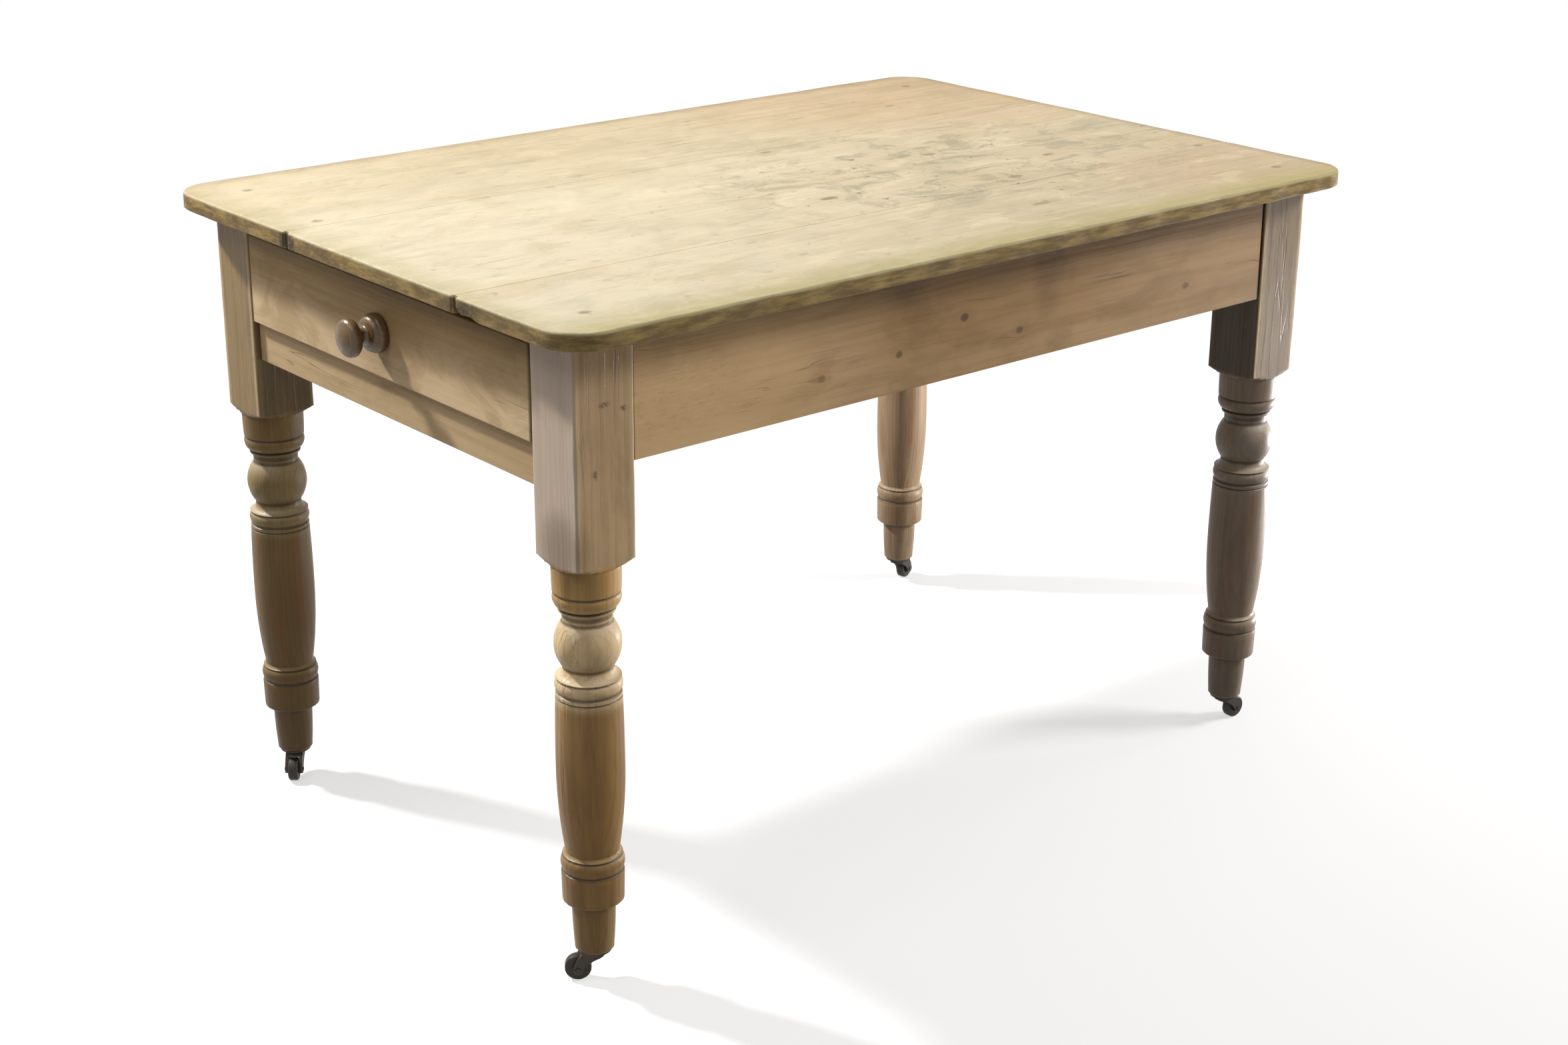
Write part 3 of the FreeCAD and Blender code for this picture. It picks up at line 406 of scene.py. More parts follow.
# Each board: its edges in Y, whether each is a rim of the top or lies at a seam, the pith and
# the ring spacing of its wood, and the seeds of its grain and of its wear.
BOARDS = {
    "left": (SEAMS[0] + HALF_GAP, WIDTH / 2, False, True, (330, 690), 7, 1.3, 1.0),
    "middle": (SEAMS[1] + HALF_GAP, SEAMS[0] - HALF_GAP, False, False, (-20, 660), 7, 4.1, 2.0),
    "right": (-WIDTH / 2, SEAMS[1] - HALF_GAP, True, False, (-260, 700), 6, 7.7, 3.0),
}

# How near the outline a place counts as its edge, and how far the edge can be worn or rounded.
EDGE_ZONE, MOST_WEAR, MOST_ROUNDING = 20, 2.6, 2.0

# Where the lower edge has broken away at the drawer end, and half of how far that runs.
BREAK_Y, BREAK_RUN = -229, 24


def worn(x, y, seed):
    """How far, in millimetres, an edge is worn back at a place on the top."""
    slow = noise.noise(Vector((x * 0.012, y * 0.012, seed)))
    fast = noise.noise(Vector((x * 0.05, y * 0.05, seed + 7)))
    chips = 0.0
    if y < -WIDTH / 2 + EDGE_ZONE:
        chips = 0.5 + noise.noise(Vector((x * 0.021, seed, 4.0))) * 2.4
        chips += max(0.0, noise.noise(Vector((x * 0.09, seed, 9.0))) - 0.25) * 4.0
    return max(0.0, 0.9 + slow * 1.3 + fast * 0.6 + chips)


def plank_rows(low, high, low_radius, high_radius):
    """The rows in Y of the flat part of a board, closer together where its corners turn."""
    turns = [math.radians(90 * step / CORNER_STEPS) for step in range(CORNER_STEPS + 1)]
    rows = [low + low_radius * (1 - math.cos(turn)) for turn in turns]
    count = max(2, round((high - low - low_radius - high_radius) / ROW_SPACING))
    span = (high - high_radius) - rows[-1]
    rows += [rows[-1] + span * step / count for step in range(1, count + 1)]
    last = rows[-1]
    return rows + [last + high_radius * math.sin(turn) for turn in turns[1:]]


def row_end(y, low, high, low_radius, high_radius):
    """Half the length of the flat part of a board at y, less where a corner is rounded."""
    end = LENGTH / 2 - INSET
    for radius, depth in ((low_radius, low + low_radius - y), (high_radius, y - high + high_radius)):
        if depth > 0:
            return end - radius + math.sqrt(max(0.0, radius**2 - depth**2))
    return end


def broken(place):
    """How much of the lower edge has broken away at a place at the drawer end."""
    near = place.x < -LENGTH / 2 + EDGE_ZONE
    return max(0.0, 1 - abs(place.y - BREAK_Y) / BREAK_RUN) if near else 0.0


def plank_top(rows, low, high, low_radius, high_radius, seed):
    """The points and faces of a board's flat part, slightly hollowed, row by row."""
    points, faces = [], []
    for y in rows:
        reach = row_end(y, low, high, low_radius, high_radius)
        for step in range(COLUMNS + 1):
            x = reach * (2 * step / COLUMNS - 1)
            dip = noise.noise(Vector((x * 0.006, y * 0.02, seed + 11))) * 0.5 - 0.35
            points.append((x, y, TOP + min(0.0, dip)))
    wide = COLUMNS + 1
    for row in range(len(rows) - 1):
        for column in range(COLUMNS):
            first = row * wide + column
            faces.append((first, first + 1, first + wide + 1, first + wide))
    return points, faces


def plank_outline(rows):
    """The numbers of the points round the flat part of a board."""
    wide = COLUMNS + 1
    last = (len(rows) - 1) * wide
    loop = list(range(COLUMNS)) + [row * wide + COLUMNS for row in range(len(rows) - 1)]
    loop += [last + column for column in range(COLUMNS, 0, -1)]
    return loop + [row * wide for row in range(len(rows) - 1, 0, -1)]


def make_plank(name, low, high, low_rim, high_rim, material, seed):
    """A board with worn, rounded edges: rim edges are rounded more than those along a seam."""
    low, high = low + INSET, high - INSET
    low_radius = CORNER_RADIUS - INSET if low_rim else SEAM_RADIUS
    high_radius = CORNER_RADIUS - INSET if high_rim else SEAM_RADIUS
    rows = plank_rows(low, high, low_radius, high_radius)
    points, faces = plank_top(rows, low, high, low_radius, high_radius, seed)
    loop = plank_outline(rows)
    count = len(loop)
    rim = []
    for index, number in enumerate(loop):
        before, after = (Vector(points[loop[(index + step) % count]]) for step in (-1, 1))
        out = Vector((after.y - before.y, before.x - after.x)).normalized()
        seam = (not low_rim and out.y < -0.7) or (not high_rim and out.y > 0.7)
        rim.append((Vector(points[number][:2]), out, seam))

    def add_loop(shape):
        """shape(round_off, wear, place) gives the depth from the outline, and the height."""
        start = len(points)
        for place, out, seam in rim:
            wear = 0.0 if seam else min(MOST_WEAR, worn(place.x, place.y, seed))
            round_off = 0.7 if seam else 2.2 + min(MOST_ROUNDING, worn(place.x, place.y, seed + 3))
            depth, height = shape(round_off, wear, place)
            moved = place + out * (INSET - depth)
            points.append((moved.x, moved.y, height))
        return start

    def upper(angle):
        """A loop on the rounded upper edge: 90 degrees is the flat part, 0 the side."""
        turn = math.radians(angle)
        away, drop = 1 - math.cos(turn), 0.9 * (1 - math.sin(turn))
        return add_loop(lambda r, wear, place: (wear + r * away, TOP - r * drop))

    def side(r, wear, place):
        return wear * 0.7 + 0.3, TOP - THICK * 0.55

    def lower_side(r, wear, place):
        return wear * 0.7 + 5 * broken(place), TOP - THICK + 1.6 + 3 * broken(place)

    def underside(r, wear, place):
        return wear + 1.4 + 7 * broken(place), TOP - THICK

    loops = [upper(angle) for angle in (90, 68, 45, 22, 0)]
    loops += [add_loop(shape) for shape in (side, lower_side, underside)]
    for index in range(count):
        after = (index + 1) % count
        faces.append((loop[index], loop[after], loops[0] + after, loops[0] + index))
    for one, two in zip(loops, loops[1:]):
        bridge(faces, one, two, count)
    faces.append(tuple(loops[-1] + index for index in range(count)))
    new_piece(name, points, faces, material, [name], "frame")


# ---- Legs -----------------------------------------------------------------------------

LEG_X, LEG_Y, HALF = 534.0, 330.5, 38.0

# The square block: the shoulder's height, reach and slope, and the heights of its rings.
SHOULDER, SHOULDER_REACH, SHOULDER_SLOPE = 500, 37.6, 2.0
SHOULDER_RINGS = [499.9, 500.6, 501.6, 503, 504.5, 506, 507.5, 508.6, 512]
BLOCK_LOW, BLOCK_HIGH, BLOCK_RINGS = 512, 753, 20
BLOCK_END, END_INSET = 754.6, 1.4

# Below this height a leg is turned, and so not quite round.
TURNED_HEIGHT = 499

# The angles of a ring's points in one quarter turn, in degrees, close together at the arris.
QUARTER = [0, 16, 30, 38, 41.2, 42.4, 43.4, 44.2, 45.8, 46.6, 47.6, 48.8, 52, 60, 74]

# Radius, height, bulge and steps of each stretch of the turning, from the foot up.
TURNING = [
    (0, 40, 0, 1), (20.3, 40, 0, 1), (22, 41.8, 0, 1), (22.1, 46, 0.5, 7), (24.4, 97.4, 0, 1),
    (25.2, 98.6, -0.5, 3), (31.6, 101.2, 0, 1), (33.6, 102.6, 0.3, 2), (34.4, 104.3, 0, 5),
    (35.1, 137.2, 0, 1), (34.6, 138.4, 0, 1), (33.3, 139.4, 0, 1), (33.4, 141.0, 2.1, 9),
    (33.4, 157.0, 0, 1), (32.4, 157.9, 0, 1), (33.3, 158.8, 0, 1), (33.2, 159.4, -0.5, 4),
    (29.9, 163.2, 1.9, 14), (37.7, 262, 0.4, 8), (36.4, 346.6, 0, 1), (35.3, 347.8, 0, 1),
    (36.1, 348.9, 0.15, 2), (36.2, 352.2, 0, 1), (34.5, 353.5, 0, 1), (34.5, 354.7, 0, 1),
    (35.1, 355.9, 1.9, 9), (35.2, 368.5, 0, 1), (34.7, 369.6, 0, 1), (35.9, 370.3, 0, 1),
    (36.0, 371.4, -2.6, 8), (28.2, 382.2, 0, 1), (27.8, 383.2, 8.95, 22), (27.8, 435.2, 0, 1),
    (27.4, 436.4, -0.2, 5), (27.8, 445.6, 0, 1), (30.7, 447.0, 0, 1), (31.3, 447.9, 0.2, 2),
    (31.2, 449.8, 0, 1), (29.2, 450.9, 0, 1), (29.8, 452.2, 0, 1), (33.2, 453.3, 2.2, 9),
    (36.1, 467.6, 0, 1), (35.5, 468.8, 0, 1), (36.9, 470.1, 0.2, 6), (37.5, 499.5, 0, 1),
]


def block_reach(angle, height, corner, seed):
    """How far the square block reaches from the axis, with worn arrises."""
    across, along = abs(math.cos(angle)), abs(math.sin(angle))
    big, small = max(across, along), min(across, along)
    flat = HALF / big
    arris = 2.4 + max(0.0, noise.noise(Vector((height * 0.02, seed, corner)))) * 3.2
    # On the arris the reach follows a circle of that radius about a point inside the corner.
    inner = HALF - arris
    if small * flat > inner:
        middle = inner * (big + small)
        return middle + math.sqrt(max(0.0, middle**2 - 2 * inner**2 + arris**2))
    return flat


def leg_rings(angles, seed):
    """Rings of (radius, angle, height) up a leg: the turning, the shoulder and the block."""
    rings = [[(radius, angle, height) for angle in angles] for radius, height in profile(TURNING)[1:]]
    run = BLOCK_HIGH - BLOCK_LOW
    levels = SHOULDER_RINGS + [BLOCK_LOW + run * step / BLOCK_RINGS for step in range(1, BLOCK_RINGS + 1)]
    for height in levels:
        cone = SHOULDER_REACH + (height - SHOULDER) * SHOULDER_SLOPE
        ring = []
        for angle in angles:
            corner = math.floor(angle / (math.pi / 2))
            reach = block_reach(angle, height, corner, seed)
            ring.append((min(reach, cone), angle, height))
        rings.append(ring)
    rings.append([(radius - END_INSET, angle, BLOCK_END) for radius, angle, height in rings[-1]])
    return rings


def make_leg(name, way, side, material, seed):
    """A leg with a square head on a turned shaft, as rings of points about its axis."""
    angles = [math.radians(90 * turn + angle) for turn in range(4) for angle in QUARTER]
    rings = leg_rings(angles, seed)
    points, faces = [], []
    for ring in rings:
        for radius, angle, height in ring:
            across, along = math.cos(angle), math.sin(angle)
            wobble = 1 + 0.004 * noise.noise(Vector((across, along, height * 0.02 + seed)))
            radius *= wobble if height < TURNED_HEIGHT else 1
            points.append((way * LEG_X + radius * across, side * LEG_Y + radius * along, height))
    count = len(angles)
    for index in range(len(rings) - 1):
        bridge(faces, index * count, (index + 1) * count, count)
    faces.append(tuple(range(count)))
    faces.append(tuple((len(rings) - 1) * count + index for index in range(count)))
    new_piece(name, points, faces, material, [name], "frame", 28)


# ---- Knob -----------------------------------------------------------------------------

FACE_X, KNOB_Z = -572.0, 682.0

# Radius, distance from the drawer's face, bulge and steps: the rose, the neck and the head.
KNOB = [
    (0, -1, 0, 1), (20.5, -1, 0, 1), (21.3, 0.4, 1.9, 12), (20.8, 11.5, 2.0, 9), (12.5, 18.4, -0.8, 5),
    (9.0, 21.6, -1.0, 7), (9.2, 28.6, 0.3, 4), (15.8, 31.2, 2.2, 11), (22.0, 38.8, 1.9, 10),
    (15.6, 46.2, 0.85, 10), (1.5, 49.85, 0, 1), (0, 49.85, 0, 1),
]


def make_knob(material):
    """The knob, turned about an axis that points out of the drawer's face."""
    around = 72
    lines = profile(KNOB)[1:-1]
    points, faces = [], []
    for radius, out in lines:
        for step in range(around):
            angle = 2 * math.pi * step / around
            points.append((FACE_X - out, radius * math.cos(angle), KNOB_Z + radius * math.sin(angle)))
    for index in range(len(lines) - 1):
        bridge(faces, index * around, (index + 1) * around, around)
    faces.append(tuple(range(around)))
    tip = len(points)
    points.append((FACE_X - lines[-1][1], 0, KNOB_Z))
    last = (len(lines) - 1) * around
    faces += [(last + step, last + (step + 1) % around, tip) for step in range(around)]
    new_piece("drawer_knob", points, faces, material, ["drawer_knob"], "drawer")


# ---- Stains, wear, painted light and painted shade for each piece ---------------------

# Knots of the top: along X, along Y, half length, half width, and how dark.
TOP_KNOTS = {
    "left": [(-289, 264, 10, 5, 0.6), (-180, 162, 24, 7, 0.35), (420, 250, 10, 5, 0.5)],
    "middle": [
        (-246, 131, 10, 4, 0.5), (87, 122, 12, 5, 0.6), (245, -17, 12, 6, 0.6), (-20, -124, 16, 7, 0.8),
        (366, -113, 14, 5, 0.55), (241, -177, 14, 6, 0.55), (-309, -35, 12, 6, 0.4), (-410, -188, 8, 5, 0.5),
    ],
    "right": [
        (162, -299, 18, 6, 0.5), (-448, -260, 9, 5, 0.55), (-216, -306, 9, 4, 0.5),
        (-227, -231, 10, 4, 0.45),
    ],
}

# Where the heads of the nails in the top are, along X and Y.
NAILS = [(-539, 345), (-553, 157), (539, 345), (560, -198), (-539, -345), (539, -345)]

# Where a seam has split open at the drawer end, along X and Y.
SPLIT = (-609, 131)


def top_clouds(net, colour, along, across):
    """The top paler at the drawer end with painted light and darker far from it with painted shade, with
    cloudy patches.
    """
    # Painted light at the drawer end, and painted shade towards the far end and the near long side.
    pale = net.fade(along, -0.62, 0.34, 0.62, 0.0)
    colour = net.mix(pale, colour, srgb(232, 219, 186))
    shade = net.fade(net.sub(net.mul(along, 0.8), across), -0.15, 0.85)
    colour = net.tint(shade, colour, (0.80, 0.77, 0.74))
    slow = net.noise(net.join(net.mul(along, 7.0), net.mul(across, 11.0), 5.0), 1.0, 3.0, 0.6, 0.8)
    colour = net.mix(net.fade(slow, 0.50, 0.68, 0.0, 0.32), colour, srgb(206, 182, 134))
    cloud = net.noise(net.join(net.mul(along, 12.0), net.mul(across, 22.0), 8.0), 1.0, 4.0, 0.6, 0.5)
    colour = net.mix(net.fade(cloud, 0.50, 0.64, 0.0, 0.30), colour, srgb(196, 184, 152))
    return net.mix(net.fade(cloud, 0.46, 0.34, 0.0, 0.30), colour, srgb(244, 230, 188))


def top_stains(net, colour, along, across):
    """Grey smears in the middle, small stains, redder corners, a greenish rim and nail rust."""
    place = (along, across)
    smear = net.noise(net.join(net.mul(along, 15.0), net.mul(across, 24.0), 2.0), 1.0, 5.0, 0.7, 0.8)
    middle = net.add(spot(net, place, (240, -75), (330, 190), 0.9), 0.32)
    patch = net.mul(middle, net.fade(smear, 0.47, 0.62))
    colour = net.mix(net.mul(patch, 0.45), colour, srgb(150, 142, 112))
    stain = net.noise(net.join(net.mul(along, 46.0), net.mul(across, 70.0), 9.0), 1.0, 3.0, 0.6, 0.5)
    stain = net.mul(net.fade(stain, 0.62, 0.74, 0.0, 0.5), net.add(middle, 0.25))
    colour = net.mix(stain, colour, srgb(128, 108, 74))
    corner = spot(net, place, (520, 290), (300, 230), 0.9)
    colour = net.mix(net.mul(corner, 0.24), colour, srgb(212, 166, 120))
    corner = spot(net, place, (500, -310), (170, 120), 0.9)
    colour = net.mix(net.mul(corner, 0.18), colour, srgb(210, 168, 122))
    rim = net.highest(net.fade(across, -0.335, -0.415), net.fade(along, -0.555, -0.609, 0.0, 0.6))
    rim = net.mul(rim, net.fade(smear, 0.25, 0.55, 0.35, 1.0))
    colour = net.mix(net.mul(rim, 0.66), colour, srgb(172, 158, 88))
    far = net.highest(net.fade(along, 0.585, 0.607), net.fade(across, 0.385, 0.413))
    colour = net.mix(net.mul(far, 0.35), colour, srgb(128, 104, 68))
    blot = net.fade(net.noise(net.join(along, across, 1.0), 190.0, 3.0, 0.7), 0.32, 0.58, 0.35, 1.0)
    for nail in NAILS:
        rust = net.mul(spot(net, place, nail, (7, 5.5), 0.95), 0.58)
        colour = net.mix(net.mul(rust, blot), colour, srgb(72, 56, 36))
    colour = net.tint(1.0, colour, (0.75, 0.77, 0.82))
    return net.tint(net.fade(across, 0.04, 0.32), colour, (0.88, 0.84, 0.78))


def top_edge(net, colour, axes):
    """Dark, weathered sides, darkest at a split seam and where the edge has broken away."""
    along, across, through = axes
    edge = net.fade(through, 0.7742, 0.7705)
    grain = net.noise(net.join(net.mul(along, 22), net.mul(across, 34), net.mul(through, 130)), 1.0, 5.0, 0.7)
    side = net.mix(net.fade(grain, 0.32, 0.62), srgb(160, 134, 76), srgb(100, 78, 40))
    colour = net.mix(net.mul(edge, 0.92), colour, side)
    # Painted shade in the gap of the split seam, and partly painted shade where the lower edge has broken
    # away.
    seam = spot(net, (along, across), SPLIT, (30, 16), 0.5)
    lost = spot(net, (along, across), (-LENGTH / 2, BREAK_Y), (22, 30), 0.8)
    split = net.highest(net.mul(seam, edge), net.mul(lost, net.mul(edge, 0.75)))
    ragged = net.fade(net.noise(net.join(along, across, through), 160.0, 3.0), 0.30, 0.50)
    return net.mix(net.mul(net.mul(split, ragged), 0.85), colour, srgb(44, 32, 20))


def top_marks_and_light(net, colour, axes):
    """What years of use have left on the top, with painted light and shade, worked out from the place on the
    table.
    """
    along, across, through = axes
    plain = net.tint(1.0, colour, (0.62, 0.56, 0.48))
    colour = top_clouds(net, colour, along, across)
    colour = top_stains(net, colour, along, across)
    colour = top_edge(net, colour, axes)
    return net.mix(net.fade(through, 0.7562, 0.7552), colour, plain)


# Lines and grooves of the turning, darkened with painted shade and some grime: their height and how far the
# darkening reaches.
SHADED_GRIMY_GROOVES = [
    (99, 3.5), (139.6, 2.6), (158, 1.7), (347.8, 1.6), (354.1, 2.4), (369.6, 1.5), (382.8, 2.6),
    (436, 2.4), (442.5, 3.4), (451.4, 2.4), (468.9, 2.2),
]

# Torn spots on the leg nearest the camera: along X, up, and their reach along both.
TORN_SPOTS = [(-533.7, 682, 7, 3), (-547, 609, 3, 5), (-510, 674, 4, 3)]

# Each leg: its name, the signs of its X and Y, its pith from its axis, the tints of its wood and
# of its shaft, and how much painted light pales its ball. The tints also carry part of the light
# that the leg stands in in the photo, so they differ more than the wood of one table would.
LEGS = [
    ("front_right", -1, -1, (30, 55), (1.0, 0.99, 0.98), (0.70, 0.60, 0.40), 1.0),
    ("front_left", -1, 1, (-46, 30), (0.53, 0.52, 0.42), (0.58, 0.51, 0.34), 0.35),
    ("rear_right", 1, -1, (24, 62), (0.42, 0.42, 0.45), (1.0, 1.08, 1.27), 0.0),
    ("rear_left", 1, 1, (-30, -44), (0.90, 0.84, 0.78), (0.80, 0.84, 0.98), 0.0),
]


def turning_marks_and_light(net, colour, axes, block, front, pale):
    """The turned part: ball and cup paled with painted light, a painted sheen where it faces up, painted
    shade under the ball, reddish below, painted shade and grime in its lines.
    """
    height, x, y = axes
    facing = net.split(net.node("ShaderNodeNewGeometry", {}, out=1))[2]
    upper = net.mul(net.fade(height, 0.505, 0.46), net.fade(facing, 0.05, 0.75))
    ball = net.mul(net.fade(height, 0.462, 0.440), net.fade(height, 0.335, 0.352))
    # Painted light pales the ball and the cup above it; painted shade darkens the ball's underside.
    colour = net.tint(net.mul(ball, 0.15 + 0.8 * pale), colour, (2.0, 2.5, 3.8))
    cup = net.mul(net.sub(1.0, block), net.fade(height, 0.450, 0.456, 0.0, pale))
    colour = net.tint(cup, colour, (1.45, 1.5, 1.5))
    colour = net.mix(net.mul(ball, net.fade(facing, 0.0, -0.8, 0.0, 0.6)), colour, srgb(116, 98, 58))
    # Painted sheen where the turning faces up.
    colour = net.mix(net.mul(upper, 0.4 + 0.15 * pale), colour, srgb(206, 190, 162))
    red = net.noise(net.join(net.mul(x, 60), net.mul(y, 60), net.mul(height, 6.0)), 1.0, 4.0, 0.6)
    red = net.mul(net.fade(red, 0.48, 0.66), net.mul(net.fade(height, 0.35, 0.33), 0.35))
    colour = net.mix(red, colour, srgb(128, 82, 48))
    # Painted shade, with some grime, in the turning's lines and grooves.
    groove_shade_and_grime = 0.0
    for level, reach in SHADED_GRIMY_GROOVES:
        away = net.size(net.sub(height, level * MM))
        groove_shade_and_grime = net.highest(groove_shade_and_grime, net.fade(away, reach * MM * 1.3, reach * MM * 0.2))
    colour = net.mix(net.mul(groove_shade_and_grime, 0.72), colour, srgb(48, 36, 20))
    low = net.fade(height, 0.34, 0.22, 0.0, 1.0 if front else 0.2)
    colour = net.tint(low, colour, (0.74, 0.69, 0.50))
    return net.tint(net.fade(height, 0.17, 0.06), colour, (0.78, 0.82, 0.88))


def near_leg_marks(net, colour, axes, block):
    """Torn spots, a greyer end face and a dark smear on the leg nearest the camera."""
    height, x, y = axes
    torn = net.fade(net.noise(net.join(x, y, height), 260.0, 4.0, 0.7), 0.34, 0.56)
    for x_mark, z_mark, long, wide in TORN_SPOTS:
        mark = spot(net, (x, height, y), (x_mark, z_mark, -368), (long, wide, 12), 0.95)
        colour = net.mix(net.mul(net.mul(mark, torn), 0.75), colour, srgb(76, 54, 34))
    grey = net.mul(net.fade(x, -0.5690, -0.5714), net.mul(block, 0.55))
    colour = net.mix(grey, colour, srgb(206, 194, 186))
    smear = net.mul(spot(net, (x, y, height), (-566, -340, 525), (14, 34, 40), 0.9), 0.5)
    return net.mix(smear, colour, srgb(84, 60, 36))


def leg_marks_and_light(way, side, wood, shaft, pale):
    """The colour of a leg: its tints, which carry painted light, worn arrises, its turning's painted light
    and shade, and painted shade on its inner faces.
    """

    def marks_and_light(net, colour, axes):
        height, x, y = axes
        from_x, from_y = net.sub(x, way * LEG_X * MM), net.sub(y, side * LEG_Y * MM)
        near = net.math("MINIMUM", net.size(from_x), net.size(from_y))
        wobble = net.noise(net.join(0.0, 0.0, net.mul(height, 18.0)), 1.0, 3.0, 0.7)
        arris = net.fade(net.add(near, net.mul(net.sub(wobble, 0.5), 0.010)), 0.0285, 0.0345)
        block = net.fade(height, 0.501, 0.508)
        colour = net.tint(1.0, colour, wood)
        colour = net.mix(net.mul(net.mul(arris, block), 0.5), colour, srgb(216, 192, 152))
        colour = net.tint(net.sub(1.0, block), colour, shaft)
        colour = turning_marks_and_light(net, colour, axes, block, way < 0, pale)
        # Painted shade on the inner faces of the block, deepest on the rear legs.
        inward = net.highest(net.mul(from_x, -way), net.mul(from_y, -side))
        inner_shade = net.mul(net.fade(inward, 0.0360, 0.0378), block)
        colour = net.tint(inner_shade, colour, (0.42, 0.40, 0.32) if way < 0 else (0.22, 0.19, 0.12))
        if way < 0 and side < 0:
            colour = near_leg_marks(net, colour, axes, block)
        return colour

    return marks_and_light


def front_marks_and_light(net, colour, axes):
    """Paler bands at both ends of the drawer front, dark stains and a grubby zone by the knob, with painted
    light below, painted shadow of the top above and painted shade at its rims.
    """
    along, across, _ = axes
    end = net.fade(net.size(along), 0.266, 0.272)
    colour = net.mix(net.mul(end, 0.35), colour, srgb(222, 198, 158))
    # Painted light on the lower part, painted shadow of the top over the upper part, and a darker painted
    # shadow line just under the top.
    colour = net.mix(net.fade(across, 0.700, 0.655, 0.0, 0.4), colour, srgb(226, 200, 162))
    colour = net.tint(net.fade(across, 0.665, 0.715), colour, (0.68, 0.61, 0.47))
    colour = net.mix(net.fade(across, 0.718, 0.731, 0.0, 0.45), colour, srgb(72, 54, 32))
    hand = spot(net, (along, across), (0, 676), (120, 60), 0.9)
    colour = net.mix(net.mul(hand, 0.22), colour, srgb(120, 92, 56))
    cloud = net.noise(net.join(net.mul(along, 9.0), net.mul(across, 16.0), 3.0), 1.0, 4.0, 0.6, 0.6)
    colour = net.mix(net.fade(cloud, 0.46, 0.62, 0.0, 0.5), colour, srgb(158, 130, 88))
    # Painted shade along the rims, where the gaps round the front are.
    sides = net.fade(net.size(along), 0.2865, 0.2895)
    rim = net.highest(sides, net.fade(across, 0.6295, 0.6265))
    rim = net.highest(rim, net.fade(across, 0.7340, 0.7365))
    return net.mix(net.mul(rim, 0.42), colour, srgb(66, 48, 28))


def apron_marks_and_shade(net, colour, axes):
    """Stains along an apron: scuffs at the drawer end, streaks from the top and a dark rear joint, with
    painted shade in its middle and painted shadow of the top along its upper edge.
    """
    along, across, _ = axes
    cloud = net.noise(net.join(net.mul(along, 7.0), net.mul(across, 13.0), 6.0), 1.0, 4.0, 0.6, 0.6)
    colour = net.mix(net.fade(cloud, 0.46, 0.66, 0.0, 0.40), colour, srgb(150, 118, 74))
    rear = net.fade(along, 0.10, 0.50)
    colour = net.mix(net.mul(rear, 0.35), colour, srgb(196, 168, 142))
    scuff = net.noise(net.join(net.mul(along, 60.0), net.mul(across, 210.0), 1.0), 1.0, 3.0, 0.7)
    where = spot(net, (along, across), (-440, 674), (90, 46), 0.8)
    colour = net.mix(net.mul(net.fade(scuff, 0.56, 0.64), net.mul(where, 0.55)), colour, srgb(224, 196, 158))
    colour = net.mix(net.mul(net.fade(scuff, 0.44, 0.36), net.mul(where, 0.55)), colour, srgb(96, 68, 40))
    for x, width, depth in ((-458, 16, 60), (-125, 34, 40), (108, 26, 90), (-300, 40, 34), (300, 50, 30)):
        run = spot(net, (along, across), (x, 758), (width, depth), 0.9)
        colour = net.mix(net.mul(run, 0.4), colour, srgb(104, 78, 46))
    colour = net.mix(net.fade(along, -0.18, -0.34, 0.0, 0.6), colour, srgb(236, 198, 150))
    colour = net.tint(1.0, colour, (0.93, 0.92, 0.86))
    colour = net.tint(net.fade(along, -0.40, -0.04), colour, (0.68, 0.62, 0.53))
    # Painted shade in the middle of the apron.
    middle = spot(net, (along, across), (30, 710), (210, 64), 0.9)
    colour = net.tint(net.mul(middle, 0.7), colour, (0.72, 0.64, 0.48))
    middle = spot(net, (along, across), (150, 640), (330, 60), 0.9)
    colour = net.tint(net.mul(middle, 0.15), colour, (0.74, 0.68, 0.56))
    # Painted shadow of the top along the upper edge, darkest just under it.
    top_shadow = net.fade(across, 0.722, 0.752)
    colour = net.mix(net.mul(top_shadow, 0.65), colour, srgb(80, 62, 34))
    colour = net.mix(net.fade(across, 0.740, 0.751, 0.0, 0.6), colour, srgb(54, 38, 20))
    joint = net.fade(along, 0.4905, 0.4925)
    return net.mix(net.mul(joint, 0.85), colour, srgb(40, 28, 16))


# Points nearer to each other than this, in metres, are merged before edges sharper than this
# angle, in degrees, are eased.
WELD_REACH, SHARP_ANGLE = 0.00001, 40


def dress(node, material, width, segments=2):
    """Give a CAD node its material, and ease its sharp edges by width in millimetres."""
    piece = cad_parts[node]
    piece.data.materials.clear()
    piece.data.materials.append(material)
    weld = piece.modifiers.new("weld", "WELD")
    weld.merge_threshold = WELD_REACH
    bevel = piece.modifiers.new("ease", "BEVEL")
    bevel.width = width * MM
    bevel.segments = segments
    bevel.limit_method = "ANGLE"
    bevel.angle_limit = math.radians(SHARP_ANGLE)
    bevel.harden_normals = True


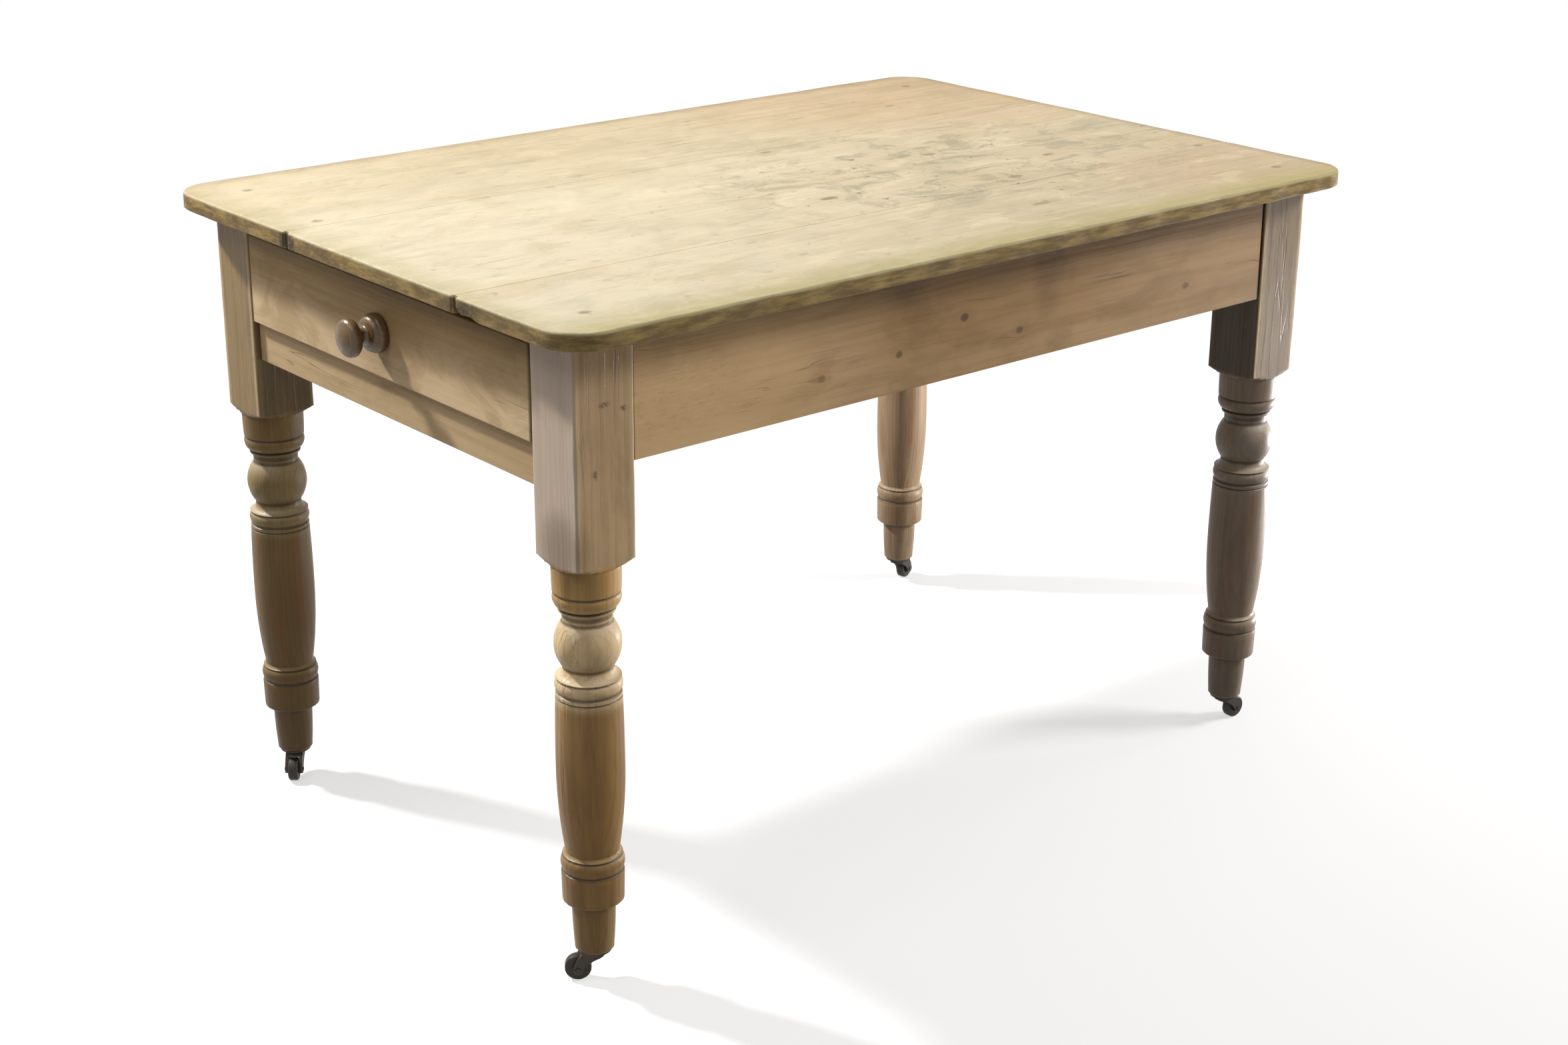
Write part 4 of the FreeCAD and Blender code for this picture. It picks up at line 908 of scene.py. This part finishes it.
def dress_floor():
    """A pale floor with the table's shadow, white further off and clear when seen from below."""
    half = FLOOR_HALF
    corners = [(-half, -half, 0), (half, -half, 0), (half, half, 0), (-half, half, 0)]
    mesh = bpy.data.meshes.new("floor")
    mesh.from_pydata(corners, [], [(0, 1, 2, 3)])
    floor = bpy.data.objects.new("floor", mesh)
    scene.collection.objects.link(floor)
    material, net = new_net("floor_white")
    seen = net.seen()
    place = net.node("ShaderNodeTexCoord", {}, out=3)
    away = net.node("ShaderNodeVectorMath", {0: place}, out=1, operation="LENGTH")
    far = net.mul(net.fade(away, 0.9, 2.6, 0.6, 1.0), seen)
    tone = net.mix(seen, FLOOR_TONE, WHITE)
    near = net.node("ShaderNodeBsdfDiffuse", {"Color": tone})
    glow = net.node("ShaderNodeEmission", {"Color": WHITE, "Strength": 1.0})
    shader = net.node("ShaderNodeMixShader", {0: far, 1: near, 2: glow})
    below = net.node("ShaderNodeNewGeometry", {}, out=6)
    clear = net.node("ShaderNodeBsdfTransparent", {"Color": WHITE})
    shader = net.node("ShaderNodeMixShader", {0: below, 1: shader, 2: clear})
    net.node("ShaderNodeOutputMaterial", {"Surface": shader})
    mesh.materials.append(material)


def light_room():
    """Lamps in a room that lights the table softly and is white to look at."""
    world = bpy.data.worlds.new("room")
    scene.world = world
    world.use_nodes = True
    net = Net(world.node_tree)
    seen = net.seen()
    strength = net.fade(seen, 0.0, 1.0, ROOM_LIGHT, 1.0, smooth=False)
    light = net.node("ShaderNodeBackground", {"Color": WHITE, "Strength": strength})
    net.node("ShaderNodeOutputWorld", {"Surface": light})
    for lamp in LAMPS:
        add_lamp(*lamp)


# ---- The pieces -----------------------------------------------------------------------

# The light, dark and grimy colours of each kind of board.
TOP_TONES = srgb(224, 206, 170), srgb(202, 178, 134), srgb(180, 164, 122)
LEG_TONES = srgb(204, 174, 134), srgb(168, 136, 98), srgb(128, 104, 70)
APRON_TONES = srgb(218, 186, 146), srgb(192, 156, 116), srgb(152, 124, 88)
RAIL_TONES = srgb(202, 175, 135), srgb(175, 146, 106), srgb(134, 111, 76)
FRONT_TONES = srgb(214, 186, 146), srgb(186, 154, 112), srgb(142, 114, 76)
KNOB_TONES = srgb(112, 88, 52), srgb(86, 64, 35), srgb(62, 46, 24)
INSIDE_TONES = srgb(206, 182, 142), srgb(176, 146, 104), srgb(140, 118, 80)

# Knots of the near apron: along X, up, half length, half width, and how dark.
APRON_KNOTS = [
    (-27, 683, 8, 6, 0.85), (63, 652, 7, 5, 0.75), (-127, 658, 6, 5, 0.7), (-242, 652, 7, 5, 0.75),
    (352, 656, 8, 5, 0.75),
]


def make_top():
    """The three boards of the top."""
    for name, (low, high, low_rim, high_rim, pith, spacing, grain_seed, wear_seed) in BOARDS.items():
        wood = pine(
            f"pine_top_{name}", "X", "Z", pith, spacing, 30.0, grain_seed, TOP_TONES, TOP_KNOTS[name],
            figure=0.17, fleck=0.35, streaks=0.36, crack=0.35, marks_and_light=top_marks_and_light, roughness=0.6,
        )
        make_plank(f"top_plank_{name}", low, high, low_rim, high_rim, wood, wear_seed)


def make_legs():
    """The four turned legs, each of its own wood."""
    for index, (name, way, side, pith, wood_and_light_tint, shaft_and_light_tint, pale) in enumerate(LEGS):
        place = (way * LEG_X + pith[0], side * LEG_Y + pith[1])
        leg_paint = leg_marks_and_light(way, side, wood_and_light_tint, shaft_and_light_tint, pale)
        wood = pine(
            f"pine_leg_{name}", "Z", "Y", place, 5.0, 14.0, 2.3 * index, LEG_TONES,
            figure=0.30, crack=0.25, marks_and_light=leg_paint, roughness=0.44, gloss=0.3,
        )
        make_leg(f"leg_{name}", way, side, wood, 5.0 + index)


def dress_frame():
    """The aprons and the rails."""
    right = pine(
        "pine_apron_right", "X", "Y", (640, -290), 6.0, 26.0, 3.1, APRON_TONES, APRON_KNOTS,
        marks_and_light=apron_marks_and_shade,
    )
    left = pine("pine_apron_left", "X", "Y", (700, 280), 6.0, 26.0, 5.9, APRON_TONES, marks_and_light=apron_marks_and_shade)
    rails = pine("pine_rails_across", "Y", "X", (600, 430), 6.0, 26.0, 9.2, RAIL_TONES)
    dress("side_apron_right", right, 1.0)
    dress("side_apron_left", left, 1.0)
    for node in ("end_apron", "drawer_rail_lower", "drawer_rail_upper"):
        dress(node, rails, 1.0)


def dress_drawer():
    """The drawer with its knob, and the plain wood inside that it runs on."""
    front = pine(
        "pine_drawer_front", "Y", "X", (640, -480), 7.0, 30.0, 6.4, FRONT_TONES,
        marks_and_light=front_marks_and_light, figure=0.22,
    )
    dress("drawer_front", front, 0.5)
    knob = pine(
        "pine_knob", "X", "Y", (46, 716), 4.0, 8.0, 2.9, KNOB_TONES, crack=0.0, roughness=0.33, gloss=0.5
    )
    make_knob(knob)
    inside = pine("pine_inside", "X", "Z", (40, 500), 6.0, 24.0, 8.8, INSIDE_TONES, grime_share=0.2)
    for kind in ("side", "runner", "guide", "kicker"):
        dress(f"drawer_{kind}_left", inside, 0.6)
        dress(f"drawer_{kind}_right", inside, 0.6)
    dress("drawer_bottom", inside, 0.6)
    dress("drawer_stops", inside, 0.6)
    back = pine("pine_drawer_back", "Y", "X", (640, 60), 6.0, 24.0, 4.5, INSIDE_TONES, grime_share=0.2)
    dress("drawer_back", back, 0.6)


def dress_iron():
    """The casters and the nails."""
    dark = iron("caster_iron", srgb(58, 54, 50), srgb(84, 62, 44), 0.55)
    wheel = iron("wheel_iron", srgb(50, 47, 44), srgb(76, 60, 46), 0.5)
    nail = iron("nail_iron", srgb(62, 54, 46), srgb(80, 58, 40), 0.6)
    for name, *_ in LEGS:
        dress(f"caster_plate_{name}", dark, 0.5)
        dress(f"caster_fork_{name}", dark, 0.7)
        dress(f"caster_axle_{name}", dark, 0.4)
        dress(f"caster_wheel_{name}", wheel, 0.6, 3)
    dress("top_nails", nail, 0.3)
    dress("drawer_bottom_nails", nail, 0.2)


scene.view_settings.view_transform = "Standard"
add_camera()
light_room()
dress_floor()
make_top()
make_legs()
dress_frame()
dress_drawer()
dress_iron()
